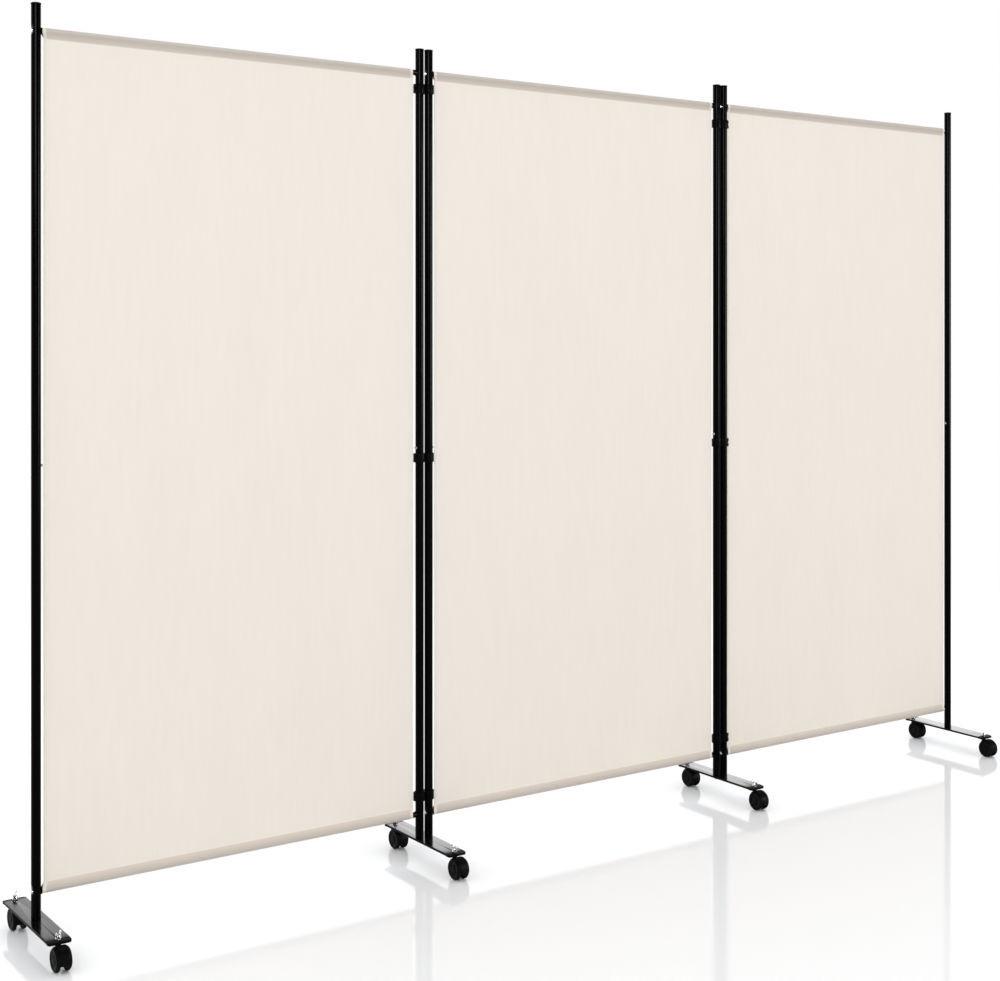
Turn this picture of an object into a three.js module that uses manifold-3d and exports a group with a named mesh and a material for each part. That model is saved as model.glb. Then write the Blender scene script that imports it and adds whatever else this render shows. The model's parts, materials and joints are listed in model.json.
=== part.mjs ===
// A folding privacy screen on wheels: three cloth panels between round posts, hinged in pairs,
// standing on four foot plates with two swivelling twin wheel casters each.
// Units are millimetres. X runs along the screen, Y from its front to its back, Z up.
// The origin is on the floor, under the middle of the screen's box.

import * as THREE from 'three';
import { mergeVertices } from 'three/addons/utils/BufferGeometryUtils.js';
import Module from 'manifold-3d';

// The screen as a whole
const overallHeight = 1800;
const panelPitch = 858;
const hingePitch = 23.5;

// Clearances and tool sizes
const seatGap = 0.3;
const runningGap = 0.35;
const cutOverrun = 2;
const weldDistance = 1e-4;

// Posts
const postDiameter = 19;
const postWall = 1;
const seamHeight = 901;
const spigotLength = 60;
const shoulderThickness = 2;
const capHeight = 4;
const capLip = 0.5;
const capChamfer = 1;

// Spring buttons
const buttonDiameter = 5;
const buttonAboveSeam = 16;
const buttonReach = 3.5;

// Crossbars, their saddles and screws
const barDiameter = 12;
const barWall = 1;
const barToPostTop = 54;
const barAbovePlate = 53;
const saddleHeight = 12;
const saddleDepth = 17;
const saddleThickness = 1.2;
const saddleWrap = 3.5;
const plugLength = 14;
const ventDiameter = 4;
const ventFromPost = 45;
const screwDiameter = 5;
const screwHeadDiameter = 8;
const screwHeadHeight = 2;

// Dents that seat the screw heads in the posts
const dentDepth = 3.5;
const dentSeatLength = 10;
const dentLength = 24;

// Cloth panels
const clothThickness = 1.2;
const clothEdgeFromPost = 5.5;
const sleeveDepth = 20;
const sleeveWall = 1;
const sleeveGap = 0.4;

// Double rings that tie the posts of a hinge
const ringWall = 2.2;
const ringHeight = 20;
const ringWebDepth = 9;
const lugReach = 3.9;
const lugWidth = 11;
const lugGrooveHeight = 5.5;
const lugGrooveDepth = 3.5;
const topRingBelowPostTop = 89;
const rightTopRingDrop = 10;
const middleRingBelowSeam = 6;
const bottomRingAbovePlate = 93;

// Foot plates and the bolts that hold the posts on them
const plateLength = 274;
const plateWidth = 46;
const plateThickness = 5;
const plateCornerRadius = 7;
const plateAboveWheels = 4;
const postBoltDiameter = 6;
const postBoltReach = 18;
const postPlugLength = 22;
const boltHeadAcrossCorners = 11.5;
const boltHeadHeight = 4;

// Casters
const wheelDiameter = 45;
const wheelWidth = 9;
const wheelSpacing = 12;
const wheelShoulder = 3.5;
const hubRecess = 1.5;
const hubDiameter = 19;
const axleDiameter = 6;
const casterTrail = 15;
const stemFromPlateEnd = 12;
const stemDiameter = 8;
const stemDepth = 21;
const stemFlangeThickness = 1.5;
const webSideGap = 0.5;
const webDiameter = 29;
const neckDiameter = 10.6;
const socketDiameter = 11;
const socketTopBelowPlate = 6;
const hoodGap = 0.8;
const hoodThickness = 1.5;
const hoodWidth = 21;
const hoodTaperTop = 36;
const hoodTaperBottom = 13;

// Wing nuts
const nutBaseDiameter = 12;
const nutTopDiameter = 9;
const nutHeight = 7;
const wingSpan = 22;
const wingHeight = 14.5;
const wingThickness = 2.4;
const threadAboveNut = 2;

// One wing's corners as shares of half its span and of its height above the nut's foot
const wingShares = [[0.46, 0.12], [1, 0.7], [0.9, 1], [0.6, 0.95], [0.36, 0.47]];

// Counts of sides, and the hood's two ends as angles from the rear, over the top, to the front
const postSides = 16;
const barSides = 12;
const wheelSides = 16;
const boreSides = 8;
const sleeveArcSteps = 8;
const cornerSteps = 4;
const hoodSteps = 10;
const hoodRearDegrees = 45;
const hoodFrontDegrees = 195;

// Colours and finishes
const finishes = {
  blackTube: { color: 0x0b0b0d, roughness: 0.28, metalness: 0.3 },
  blackPlate: { color: 0x09090b, roughness: 0.08, metalness: 0.3 },
  blackPlastic: { color: 0x121214, roughness: 0.45, metalness: 0.0 },
  wheelPlastic: { color: 0x19191b, roughness: 0.55, metalness: 0.0 },
  brightSteel: { color: 0xc9c9cc, roughness: 0.2, metalness: 1.0 },
  creamCloth: { color: 0xefe6db, roughness: 0.9, metalness: 0.0 },
};

// Sizes that follow from the ones above
const postRadius = postDiameter / 2;
const barRadius = barDiameter / 2;
const wheelRadius = wheelDiameter / 2;
const plateUnderside = wheelDiameter + plateAboveWheels;
const plateTop = plateUnderside + plateThickness;
const topBarHeight = overallHeight - barToPostTop;
const bottomBarHeight = plateTop + barAbovePlate;
const stemOffset = plateLength / 2 - stemFromPlateEnd;
const hoodInner = wheelRadius + hoodGap;
const hoodOuter = hoodInner + hoodThickness;
const frontReach = stemOffset + casterTrail + hoodOuter;
const backReach = Math.max(plateLength / 2, stemOffset - casterTrail + wheelRadius);
const postPlaneY = (frontReach - backReach) / 2;
const footPitch = panelPitch + hingePitch;

const wasm = await Module();
wasm.setup();

// A solid from a three.js geometry whose shared corners are welded.
function solidOf(geometry) {
  geometry.deleteAttribute('normal');
  geometry.deleteAttribute('uv');
  const welded = mergeVertices(geometry, weldDistance);
  return new wasm.Manifold(new wasm.Mesh({
    numProp: 3,
    vertProperties: new Float32Array(welded.attributes.position.array),
    triVerts: new Uint32Array(welded.index.array),
  }));
}

// A three.js geometry from a solid.
function geometryOf(solid) {
  const mesh = solid.getMesh();
  const geometry = new THREE.BufferGeometry();
  geometry.setAttribute('position', new THREE.BufferAttribute(new Float32Array(mesh.vertProperties), 3));
  geometry.setIndex(new THREE.BufferAttribute(new Uint32Array(mesh.triVerts), 1));
  geometry.computeVertexNormals();
  return geometry;
}

const unionOf = (solids) => solids.reduce((whole, solid) => whole.add(solid));

const turnTo = {
  x: (geometry) => geometry.rotateZ(-Math.PI / 2),
  y: (geometry) => geometry,
  z: (geometry) => geometry.rotateX(Math.PI / 2),
};
const axisVector = {
  x: new THREE.Vector3(1, 0, 0),
  y: new THREE.Vector3(0, 1, 0),
  z: new THREE.Vector3(0, 0, 1),
};

// A round bar or cone along an axis through the given centre, between two places on that axis.
// With flats its sides, not its corners, lie on the radius, and one side faces straight down.
function barAlong(axis, radius, from, to, centre, sides, { endRadius = radius, flats = false } = {}) {
  const scale = flats ? 1 / Math.cos(Math.PI / sides) : 1;
  const start = flats ? Math.PI / sides : 0;
  const geometry = new THREE.CylinderGeometry(
    endRadius * scale, radius * scale, to - from, sides, 1, false, start);
  turnTo[axis](geometry);
  const place = centre.clone().addScaledVector(axisVector[axis], (from + to) / 2);
  geometry.translate(place.x, place.y, place.z);
  return solidOf(geometry);
}

// A round hole that clears the given radius all the way round.
const boreAlong = (axis, radius, from, to, centre) => barAlong(
  axis, radius, from, to, centre, boreSides, { flats: true });

// A box given by its centre and its size.
function boxAt(centre, size) {
  const geometry = new THREE.BoxGeometry(size.x, size.y, size.z);
  geometry.translate(centre.x, centre.y, centre.z);
  return solidOf(geometry);
}

// An outline in the YZ plane, drawn out along X; its holes are outlines too.
function drawnAlongX(outline, holes, from, to) {
  const shape = new THREE.Shape(outline);
  shape.holes = holes.map((points) => new THREE.Path(points));
  const geometry = new THREE.ExtrudeGeometry(shape, { depth: to - from, bevelEnabled: false });
  geometry.applyMatrix4(new THREE.Matrix4().makeBasis(axisVector.y, axisVector.z, axisVector.x));
  geometry.translate(from, 0, 0);
  return solidOf(geometry);
}

// An outline in the XZ plane, drawn out along Y.
function drawnAlongY(outline, from, to) {
  const geometry = new THREE.ExtrudeGeometry(new THREE.Shape(outline), { depth: to - from, bevelEnabled: false });
  geometry.rotateX(Math.PI / 2);
  geometry.translate(0, to, 0);
  return solidOf(geometry);
}

// An outline in the XY plane, drawn out along Z.
function drawnAlongZ(outline, from, to) {
  const geometry = new THREE.ExtrudeGeometry(new THREE.Shape(outline), { depth: to - from, bevelEnabled: false });
  geometry.translate(0, 0, from);
  return solidOf(geometry);
}

const flatPoint = (a, b) => new THREE.Vector2(a, b);
const at = (x, y, z) => new THREE.Vector3(x, y, z);

const model = new THREE.Group();

// Puts a named piece with its finish into a group.
function addPiece(group, name, geometry, finish) {
  const mesh = new THREE.Mesh(geometry, new THREE.MeshStandardMaterial(finishes[finish]));
  mesh.name = name;
  group.add(mesh);
  return mesh;
}

// The dent that seats a screw head, on the side of the post away from the cloth.
// The wider copy, one wall deeper, keeps the tube's bore clear of it.
function dent(outward, height, extra) {
  const bottom = postRadius - dentDepth - extra;
  const rim = postRadius + cutOverrun;
  const slope = (dentLength - dentSeatLength) / 2 / dentDepth;
  const seat = dentSeatLength / 2 + extra;
  const mouth = seat + slope * (rim - bottom);
  const outline = [
    flatPoint(outward * bottom, height - seat),
    flatPoint(outward * rim, height - mouth),
    flatPoint(outward * rim, height + mouth),
    flatPoint(outward * bottom, height + seat),
  ];
  return drawnAlongY(outward > 0 ? outline : outline.reverse(), -postDiameter, postDiameter);
}

function screwHole(height) {
  const radius = screwDiameter / 2 + seatGap;
  return boreAlong('x', radius, -postDiameter, postDiameter, at(0, 0, height));
}

// The upper tube of a post, with its end cap. The cloth lies on its inward side.
function upperPost(inward) {
  const bottom = seamHeight + seatGap / 2;
  const capBottom = overallHeight - capHeight;
  const capRadius = postRadius + capLip;
  const shell = unionOf([
    barAlong('z', postRadius, bottom, capBottom + cutOverrun, at(0, 0, 0), postSides),
    barAlong('z', capRadius, capBottom, overallHeight - capChamfer, at(0, 0, 0), postSides),
    barAlong('z', capRadius, overallHeight - capChamfer, overallHeight, at(0, 0, 0), postSides,
      { endRadius: capRadius - capChamfer }),
  ]).subtract(dent(-inward, topBarHeight, 0));
  const bore = barAlong('z', postRadius - postWall, bottom - cutOverrun, capBottom, at(0, 0, 0), postSides)
    .subtract(dent(-inward, topBarHeight, postWall));
  const holeEnds = [0, inward * (postRadius + cutOverrun)].sort((a, b) => a - b);
  const buttonHole = boreAlong('x', buttonDiameter / 2 + seatGap, ...holeEnds,
    at(0, 0, seamHeight + buttonAboveSeam));
  return shell.subtract(bore).subtract(buttonHole).subtract(screwHole(topBarHeight));
}

// The lower tube of a post, with the plug at its foot that takes the plate's bolt,
// the neck that slides into the upper tube and the spring button on that neck.
function lowerPost(inward) {
  const bottom = plateTop + seatGap;
  const shoulder = seamHeight - seatGap / 2;
  const neckRadius = postRadius - postWall - seatGap;
  const neckBore = neckRadius - postWall;
  const neckTop = seamHeight + spigotLength;
  const buttonHeight = seamHeight + buttonAboveSeam;
  const shell = unionOf([
    barAlong('z', postRadius, bottom, shoulder, at(0, 0, 0), postSides),
    barAlong('z', neckRadius, shoulder - shoulderThickness, neckTop, at(0, 0, 0), postSides),
  ]).subtract(dent(-inward, bottomBarHeight, 0));
  const bore = barAlong('z', postRadius - postWall, bottom + postPlugLength, shoulder - shoulderThickness,
    at(0, 0, 0), postSides).subtract(dent(-inward, bottomBarHeight, postWall));
  const boltHole = boreAlong('z', postBoltDiameter / 2 + seatGap, bottom - cutOverrun,
    bottom + postPlugLength + cutOverrun, at(0, 0, 0));
  const upperBore = barAlong('z', neckBore, shoulder - shoulderThickness - cutOverrun, neckTop + cutOverrun,
    at(0, 0, 0), postSides);
  const ends = [inward * (neckBore + postWall / 2), inward * (postRadius + buttonReach)].sort((a, b) => a - b);
  const button = barAlong('x', buttonDiameter / 2, ends[0], ends[1], at(0, 0, buttonHeight), boreSides);
  return shell.subtract(bore).subtract(boltHole).subtract(upperBore).add(button)
    .subtract(screwHole(bottomBarHeight));
}

// A crossbar with the saddle, plug and screw at each of its two ends, centred on the panel.
function crossbar(height) {
  const postX = panelPitch / 2;
  const saddleFace = postRadius + seatGap;
  const saddleEnd = saddleFace + saddleThickness;
  const tubeEnd = postX - saddleEnd + saddleThickness / 2;
  const axis = at(0, 0, height);
  const tube = barAlong('x', barRadius, -tubeEnd, tubeEnd, axis, barSides);
  const hollowEnd = postX - saddleEnd - plugLength;
  const hollow = barAlong('x', barRadius - barWall, -hollowEnd, hollowEnd, axis, barSides);
  const vent = barAlong('z', ventDiameter / 2, height - barRadius - cutOverrun, height,
    at(postX - ventFromPost, 0, 0), boreSides);
  const pieces = [tube.subtract(hollow).subtract(vent)];
  for (const side of [-1, 1]) {
    const centre = side * postX;
    const near = saddleEnd;
    const far = postRadius - saddleWrap;
    const block = boxAt(at(centre - side * (near + far) / 2, 0, height),
      at(near - far, saddleDepth, saddleHeight));
    const post = barAlong('z', saddleFace, height - saddleHeight, height + saddleHeight,
      at(centre, 0, 0), postSides);
    pieces.push(block.subtract(post));
    const headFace = centre + side * (postRadius - dentDepth + seatGap);
    const headEnd = headFace + side * screwHeadHeight;
    const shankEnd = centre - side * (saddleFace + saddleThickness / 2);
    const span = (a, b) => [Math.min(a, b), Math.max(a, b)];
    pieces.push(barAlong('x', screwDiameter / 2, ...span(shankEnd, headFace + side * screwHeadHeight / 2),
      axis, boreSides));
    pieces.push(barAlong('x', screwHeadDiameter / 2, ...span(headFace, headEnd), axis, boreSides));
  }
  return unionOf(pieces);
}

// One end of the cloth's section: a sleeve wrapped round a crossbar, narrowing to the flat cloth.
// The turn is +1 for the top sleeve, which opens upwards, and -1 for the bottom one.
function sleeveOutline(centreHeight, radius, neckHalf, neckHeight, turn) {
  const drop = Math.abs(centreHeight - neckHeight);
  const distance = Math.hypot(drop, neckHalf);
  const lean = Math.atan2(neckHalf, drop) + Math.acos(radius / distance);
  const points = [flatPoint(neckHalf, neckHeight)];
  const startAngle = lean - Math.PI / 2;
  const sweep = Math.PI - 2 * startAngle;
  for (let step = 0; step <= sleeveArcSteps; step += 1) {
    const angle = startAngle + sweep * step / sleeveArcSteps;
    points.push(flatPoint(radius * Math.cos(angle), centreHeight + turn * radius * Math.sin(angle)));
  }
  points.push(flatPoint(-neckHalf, neckHeight));
  return points;
}

// The cloth of one panel, centred on it: flat cloth between two sleeves.
function cloth() {
  const half = clothThickness / 2;
  const inner = barRadius + sleeveGap;
  const outer = inner + sleeveWall;
  const neck = sleeveDepth - outer;
  const topNeck = topBarHeight - neck;
  const bottomNeck = bottomBarHeight + neck;
  const top = sleeveOutline(topBarHeight, outer, half, topNeck, 1);
  const bottom = sleeveOutline(bottomBarHeight, outer, half, bottomNeck, -1).reverse();
  const holes = [
    sleeveOutline(topBarHeight, inner, 0, topNeck + clothThickness, 1).slice(0, -1),
    sleeveOutline(bottomBarHeight, inner, 0, bottomNeck - clothThickness, -1).slice(0, -1),
  ];
  const edge = panelPitch / 2 - postRadius - clothEdgeFromPost;
  return drawnAlongX([...top, ...bottom], holes, -edge, edge);
}

// The double ring of a hinge, centred between its two posts. Its grooved lug stands on the side given,
// and a ring with its lug on the other side is the same one turned over.
function doubleRing(height, lugSide) {
  const bore = postRadius + runningGap;
  const outer = bore + ringWall;
  const low = height - ringHeight / 2;
  const high = height + ringHeight / 2;
  const axes = [-1, 1].map((side) => at(side * hingePitch / 2, 0, 0));
  const rings = axes.map((axis) => barAlong('z', outer, low, high, axis, postSides));
  const web = boxAt(at(0, 0, height), at(hingePitch, ringWebDepth, ringHeight));
  const lugX = lugSide * hingePitch / 2;
  const lugEnd = postRadius + lugReach;
  const lug = boxAt(at(lugX + lugSide * lugEnd / 2, 0, height), at(lugEnd, lugWidth, ringHeight));
  const groove = boxAt(at(lugX + lugSide * lugEnd, -lugWidth / 2, height),
    at(2 * lugGrooveDepth, lugWidth, lugGrooveHeight));
  const bores = axes.map((axis) => barAlong('z', bore, low - cutOverrun, high + cutOverrun, axis, postSides));
  return unionOf([...rings, web, lug]).subtract(groove).subtract(unionOf(bores));
}

// A foot plate with round corners, its two stem holes and the bolts that hold its posts.
function footPlate(postPlaces) {
  const corners = [[1, 1], [-1, 1], [-1, -1], [1, -1]];
  const outline = corners.flatMap(([sx, sy], corner) => {
    const cx = sx * (plateWidth / 2 - plateCornerRadius);
    const cy = sy * (plateLength / 2 - plateCornerRadius);
    return Array.from({ length: cornerSteps + 1 }, (_, step) => {
      const angle = (corner + step / cornerSteps) * Math.PI / 2;
      return flatPoint(cx + plateCornerRadius * Math.cos(angle), cy + plateCornerRadius * Math.sin(angle));
    });
  });
  let plate = drawnAlongZ(outline, plateUnderside, plateTop);
  for (const side of [-1, 1]) {
    plate = plate.subtract(boreAlong('z', stemDiameter / 2 + seatGap, plateUnderside - cutOverrun,
      plateTop + cutOverrun, at(0, side * stemOffset, 0)));
  }
  for (const x of postPlaces) {
    plate = plate
      .add(barAlong('z', boltHeadAcrossCorners / 2, plateUnderside - boltHeadHeight,
        plateUnderside + plateThickness / 2, at(x, 0, 0), 6))
      .add(barAlong('z', postBoltDiameter / 2, plateUnderside, plateTop + postBoltReach, at(x, 0, 0), boreSides));
  }
  return plate;
}

// The fixed stem of a caster with its flange, thread and wing nut, on the swivel's axis.
function casterStem(wingDegrees) {
  const flangeTop = plateUnderside - seatGap;
  const flangeBottom = flangeTop - stemFlangeThickness;
  const nutBottom = plateTop + seatGap;
  const nutTop = nutBottom + nutHeight;
  const axis = at(0, 0, 0);
  const wing = (side) => {
    const corners = wingShares.map(([across, up]) => flatPoint(
      side * across * wingSpan / 2, nutBottom + up * wingHeight));
    return [flatPoint(0, corners[0].y), ...corners, flatPoint(0, corners.at(-1).y)];
  };
  const wings = [-1, 1].map((side) => drawnAlongY(side > 0 ? wing(side) : wing(side).reverse(),
    -wingThickness / 2, wingThickness / 2).rotate([0, 0, wingDegrees]));
  return unionOf([
    barAlong('z', stemDiameter / 2, flangeBottom - stemDepth, nutTop + threadAboveNut, axis, boreSides),
    barAlong('z', neckDiameter / 2, flangeBottom, flangeTop, axis, boreSides),
    barAlong('z', nutBaseDiameter / 2, nutBottom, nutTop, axis, boreSides, { endRadius: nutTopDiameter / 2 }),
    ...wings,
  ]);
}

// The housing of a caster, in the frame of its swivel's axis, with the axle behind it by the trail.
function casterHousing() {
  const halfWeb = wheelSpacing / 2 - webSideGap;
  const axle = at(0, -casterTrail, wheelRadius);
  const neckTop = plateUnderside - seatGap - stemFlangeThickness - seatGap;
  const socketTop = plateUnderside - socketTopBelowPlate;
  const hoodArc = (radius) => Array.from({ length: hoodSteps + 1 }, (_, step) => {
    const degrees = hoodRearDegrees + (hoodFrontDegrees - hoodRearDegrees) * step / hoodSteps;
    const angle = THREE.MathUtils.degToRad(degrees);
    return flatPoint(axle.y + radius * Math.cos(angle), axle.z + radius * Math.sin(angle));
  });
  const hoodBand = drawnAlongX([...hoodArc(hoodOuter), ...hoodArc(hoodInner).reverse()], [],
    -hoodWidth / 2, hoodWidth / 2);
  const taper = drawnAlongY([
    flatPoint(-halfWeb, 0), flatPoint(halfWeb, 0), flatPoint(halfWeb, hoodTaperBottom),
    flatPoint(hoodWidth / 2, hoodTaperTop), flatPoint(hoodWidth / 2, wheelDiameter + hoodOuter),
    flatPoint(-hoodWidth / 2, wheelDiameter + hoodOuter), flatPoint(-hoodWidth / 2, hoodTaperTop),
    flatPoint(-halfWeb, hoodTaperBottom),
  ], axle.y - wheelDiameter, axle.y + wheelDiameter);
  const body = unionOf([
    barAlong('x', webDiameter / 2, -halfWeb, halfWeb, axle, wheelSides, { flats: true }),
    drawnAlongX([...hoodArc((hoodInner + hoodOuter) / 2), flatPoint(axle.y, axle.z)], [], -halfWeb, halfWeb),
    hoodBand.intersect(taper),
    boxAt(at(0, -casterTrail / 2, (axle.z + socketTop) / 2), at(2 * halfWeb, casterTrail, socketTop - axle.z)),
    barAlong('z', socketDiameter / 2, axle.z - webDiameter / 4, socketTop, at(0, 0, 0), boreSides),
    barAlong('z', neckDiameter / 2, axle.z, neckTop, at(0, 0, 0), boreSides),
  ]);
  const stemBore = stemDiameter / 2 + seatGap;
  const stemBottom = plateUnderside - seatGap - stemFlangeThickness - stemDepth - seatGap;
  return body
    .subtract(boreAlong('z', stemBore, stemBottom, neckTop + cutOverrun, at(0, 0, 0)))
    .subtract(boreAlong('x', axleDiameter / 2 + runningGap, -wheelSpacing, wheelSpacing, axle));
}

// The two wheels of a caster on their common axle, turned about X with flats that meet the floor.
function casterWheels() {
  const inner = wheelSpacing / 2;
  const outer = inner + wheelWidth;
  const half = [
    flatPoint(0, outer - hubRecess),
    flatPoint(hubDiameter / 2, outer - hubRecess),
    flatPoint(hubDiameter / 2 + hubRecess, outer),
    flatPoint(wheelRadius - wheelShoulder, outer),
    flatPoint(wheelRadius, outer - wheelShoulder),
    flatPoint(wheelRadius, inner),
    flatPoint(axleDiameter / 2, inner),
  ];
  const otherHalf = half.map((point) => flatPoint(point.x, -point.y));
  const flats = 1 / Math.cos(Math.PI / wheelSides);
  const profile = [...otherHalf, ...half.reverse()].map((point) => flatPoint(point.x * flats, point.y));
  const geometry = new THREE.LatheGeometry(profile, wheelSides, Math.PI / wheelSides);
  geometry.rotateZ(-Math.PI / 2);
  geometry.translate(0, -casterTrail, wheelRadius);
  return solidOf(geometry);
}

// A group placed in another one.
function groupAt(parent, x, y, z = 0) {
  const group = new THREE.Group();
  group.position.set(x, y, z);
  parent.add(group);
  return group;
}

const screen = groupAt(model, 0, postPlaneY);

// Panels, each with its four tubes, two crossbars and cloth.
const panels = [['left', -1], ['middle', 0], ['right', 1]];
for (const [panelName, place] of panels) {
  const panel = groupAt(screen, place * footPitch, 0);
  for (const [side, inward] of [['left', 1], ['right', -1]]) {
    const post = groupAt(panel, -inward * panelPitch / 2, 0);
    addPiece(post, `${panelName}_panel_${side}_post_lower`, geometryOf(lowerPost(inward)), 'blackTube');
    addPiece(post, `${panelName}_panel_${side}_post_upper`, geometryOf(upperPost(inward)), 'blackTube');
  }
  addPiece(panel, `${panelName}_panel_top_crossbar`, geometryOf(crossbar(topBarHeight)), 'blackTube');
  addPiece(panel, `${panelName}_panel_bottom_crossbar`, geometryOf(crossbar(bottomBarHeight)), 'blackTube');
  addPiece(panel, `${panelName}_panel_cloth`, geometryOf(cloth()), 'creamCloth');
}

// Hinges, each with three double rings whose lugs face away from the middle panel. The top ring of the
// right hinge is pushed down a little further.
for (const [hingeName, side, topRingDrop] of [['left', -1, 0], ['right', 1, rightTopRingDrop]]) {
  const ringHeights = [
    ['top', overallHeight - topRingBelowPostTop - topRingDrop],
    ['middle', seamHeight - middleRingBelowSeam],
    ['bottom', plateTop + bottomRingAbovePlate],
  ];
  const hinge = groupAt(screen, side * footPitch / 2, 0);
  for (const [level, height] of ringHeights) {
    addPiece(hinge, `${hingeName}_hinge_${level}_ring`, geometryOf(doubleRing(height, side)), 'blackPlastic');
  }
}

// Feet: each has a plate and two casters, whose wing nuts stop at their own angles.
const endPost = (footPitch * 3 - hingePitch) / 2;
const feet = [
  { name: 'left_end', x: -endPost, posts: [0], wingDegrees: { front: 44, back: 57 } },
  { name: 'left_hinge', x: -footPitch / 2, posts: [-hingePitch / 2, hingePitch / 2],
    wingDegrees: { front: 80, back: 50 } },
  { name: 'right_hinge', x: footPitch / 2, posts: [-hingePitch / 2, hingePitch / 2],
    wingDegrees: { front: 86, back: 20 } },
  { name: 'right_end', x: endPost, posts: [0], wingDegrees: { front: 38, back: 20 } },
];
for (const foot of feet) {
  const group = groupAt(screen, foot.x, 0);
  addPiece(group, `${foot.name}_foot_plate`, geometryOf(footPlate(foot.posts)), 'blackPlate');
  for (const [end, side] of [['front', -1], ['back', 1]]) {
    const caster = groupAt(group, 0, side * stemOffset);
    const name = `${foot.name}_${end}_caster`;
    addPiece(caster, `${name}_stem`, geometryOf(casterStem(foot.wingDegrees[end])), 'brightSteel');
    addPiece(caster, `${name}_housing`, geometryOf(casterHousing()), 'blackPlastic');
    addPiece(caster, `${name}_wheels`, geometryOf(casterWheels()), 'wheelPlastic');
  }
}

export default model;
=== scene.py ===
"""A folding privacy screen on wheels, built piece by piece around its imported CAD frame."""

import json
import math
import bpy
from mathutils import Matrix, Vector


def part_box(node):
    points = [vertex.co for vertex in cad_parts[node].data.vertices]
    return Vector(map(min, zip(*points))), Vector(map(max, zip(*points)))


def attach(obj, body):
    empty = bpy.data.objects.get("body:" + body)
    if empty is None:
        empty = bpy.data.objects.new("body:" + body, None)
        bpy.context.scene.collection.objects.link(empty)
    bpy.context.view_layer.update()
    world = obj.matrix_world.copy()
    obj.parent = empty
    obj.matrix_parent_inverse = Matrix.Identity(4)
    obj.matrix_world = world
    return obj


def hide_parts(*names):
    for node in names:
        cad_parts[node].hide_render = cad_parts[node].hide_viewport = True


bl_info = {
    "name": "Folding privacy screen",
    "version": (1, 0, 0),
    "blender": (4, 5, 0),
    "location": "3D View > Sidebar > Screen",
    "description": "Builds a ward screen's posts, cloth panels, hinge rings, feet and casters",
    "category": "Object",
}

import bmesh
import bpy
from bpy.props import FloatProperty, FloatVectorProperty, IntProperty, PointerProperty
from mathutils import Matrix, Vector

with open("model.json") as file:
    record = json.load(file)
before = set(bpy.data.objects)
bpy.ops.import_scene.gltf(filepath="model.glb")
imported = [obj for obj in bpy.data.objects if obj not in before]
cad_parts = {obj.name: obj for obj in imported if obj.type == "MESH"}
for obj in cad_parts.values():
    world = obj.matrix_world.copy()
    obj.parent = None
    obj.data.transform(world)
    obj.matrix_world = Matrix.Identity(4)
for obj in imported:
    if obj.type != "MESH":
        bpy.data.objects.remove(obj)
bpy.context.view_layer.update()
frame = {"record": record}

MM = 0.001
WHITE, BLACK = (1, 1, 1, 1), (0, 0, 0, 1)
PANELS = ("left", "middle", "right")
SIDES = {"left": 1, "right": -1}  # a post's side of its panel, and the way to the cloth in X
LEVELS = ("top", "middle", "bottom")
ENDS = ("front", "back")
FEET = {  # the posts that stand on each foot, by their panel and side
    "left_end": (("left", "left"),),
    "left_hinge": (("left", "right"), ("middle", "left")),
    "right_hinge": (("middle", "right"), ("right", "left")),
    "right_end": (("right", "right"),),
}
BODY_OF_NODE = {
    node: body
    for body, nodes in frame["record"]["behaviour"]["bodies"].items()
    for node in nodes
}

WELD = 1e-6  # points closer than this become one
NO_LENGTH = 1e-7  # a shorter edge is taken out
ON_AXIS = 1e-9  # a smaller radius is the axis itself
STRAIGHT = 0.01  # a corner this close to straight, in radians, isn't rounded
EDGE_SHARE = 0.49  # the share of an edge that one corner's arc may take
SHARP = math.radians(35)  # a sharper edge is shaded as one
ALONG_X = Matrix.Rotation(math.pi / 2, 4, "Y")  # lays along X what stands on Z


def length(name, description, millimetres):
    """A size that a user can change, kept in metres."""
    return FloatProperty(
        name=name, description=description, default=millimetres * MM, unit="LENGTH", precision=5
    )


def number(name, description, value):
    """A plain number that a user can change."""
    return FloatProperty(name=name, description=description, default=value)


def tint(name, description, colour):
    """A colour that a user can change, in linear values."""
    return FloatVectorProperty(
        name=name, description=description, default=colour, size=3, subtype="COLOR", min=0, max=1
    )


class PostSizes(bpy.types.PropertyGroup):
    """Sizes of the tube posts and of what is set in them."""

    radius: length("Radius", "Outer radius of a post", 9.3)
    wall: length("Wall", "Wall of a post's tube", 1)
    plug: length("Foot plug", "Height of the plug in a post's foot", 22)
    neck_radius: length("Neck radius", "Radius of the lower tube's neck", 8.2)
    neck: length("Neck", "Length of the lower tube's neck", 60)
    cap: length("Cap height", "Height of the end cap over the tube", 4)
    cap_lip: length("Cap lip", "How far the end cap stands out round the tube", 0.5)
    dent: length("Dent depth", "Depth of the dent that seats a crossbar screw", 2.2)
    dent_above: length("Dent above", "Length of the dent's slow slope over the screw", 13)
    dent_below: length("Dent below", "Length of the dent's quick slope under the screw", 6)
    button_radius: length("Button radius", "Radius of the spring button", 2.5)
    button_reach: length("Button reach", "How far the spring button stands out", 3.4)
    button_above_seam: length("Button height", "Height of the spring button over the seam", 16)
    sides: IntProperty(name="Sides", description="Faces round a post", default=48, min=12)


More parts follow.
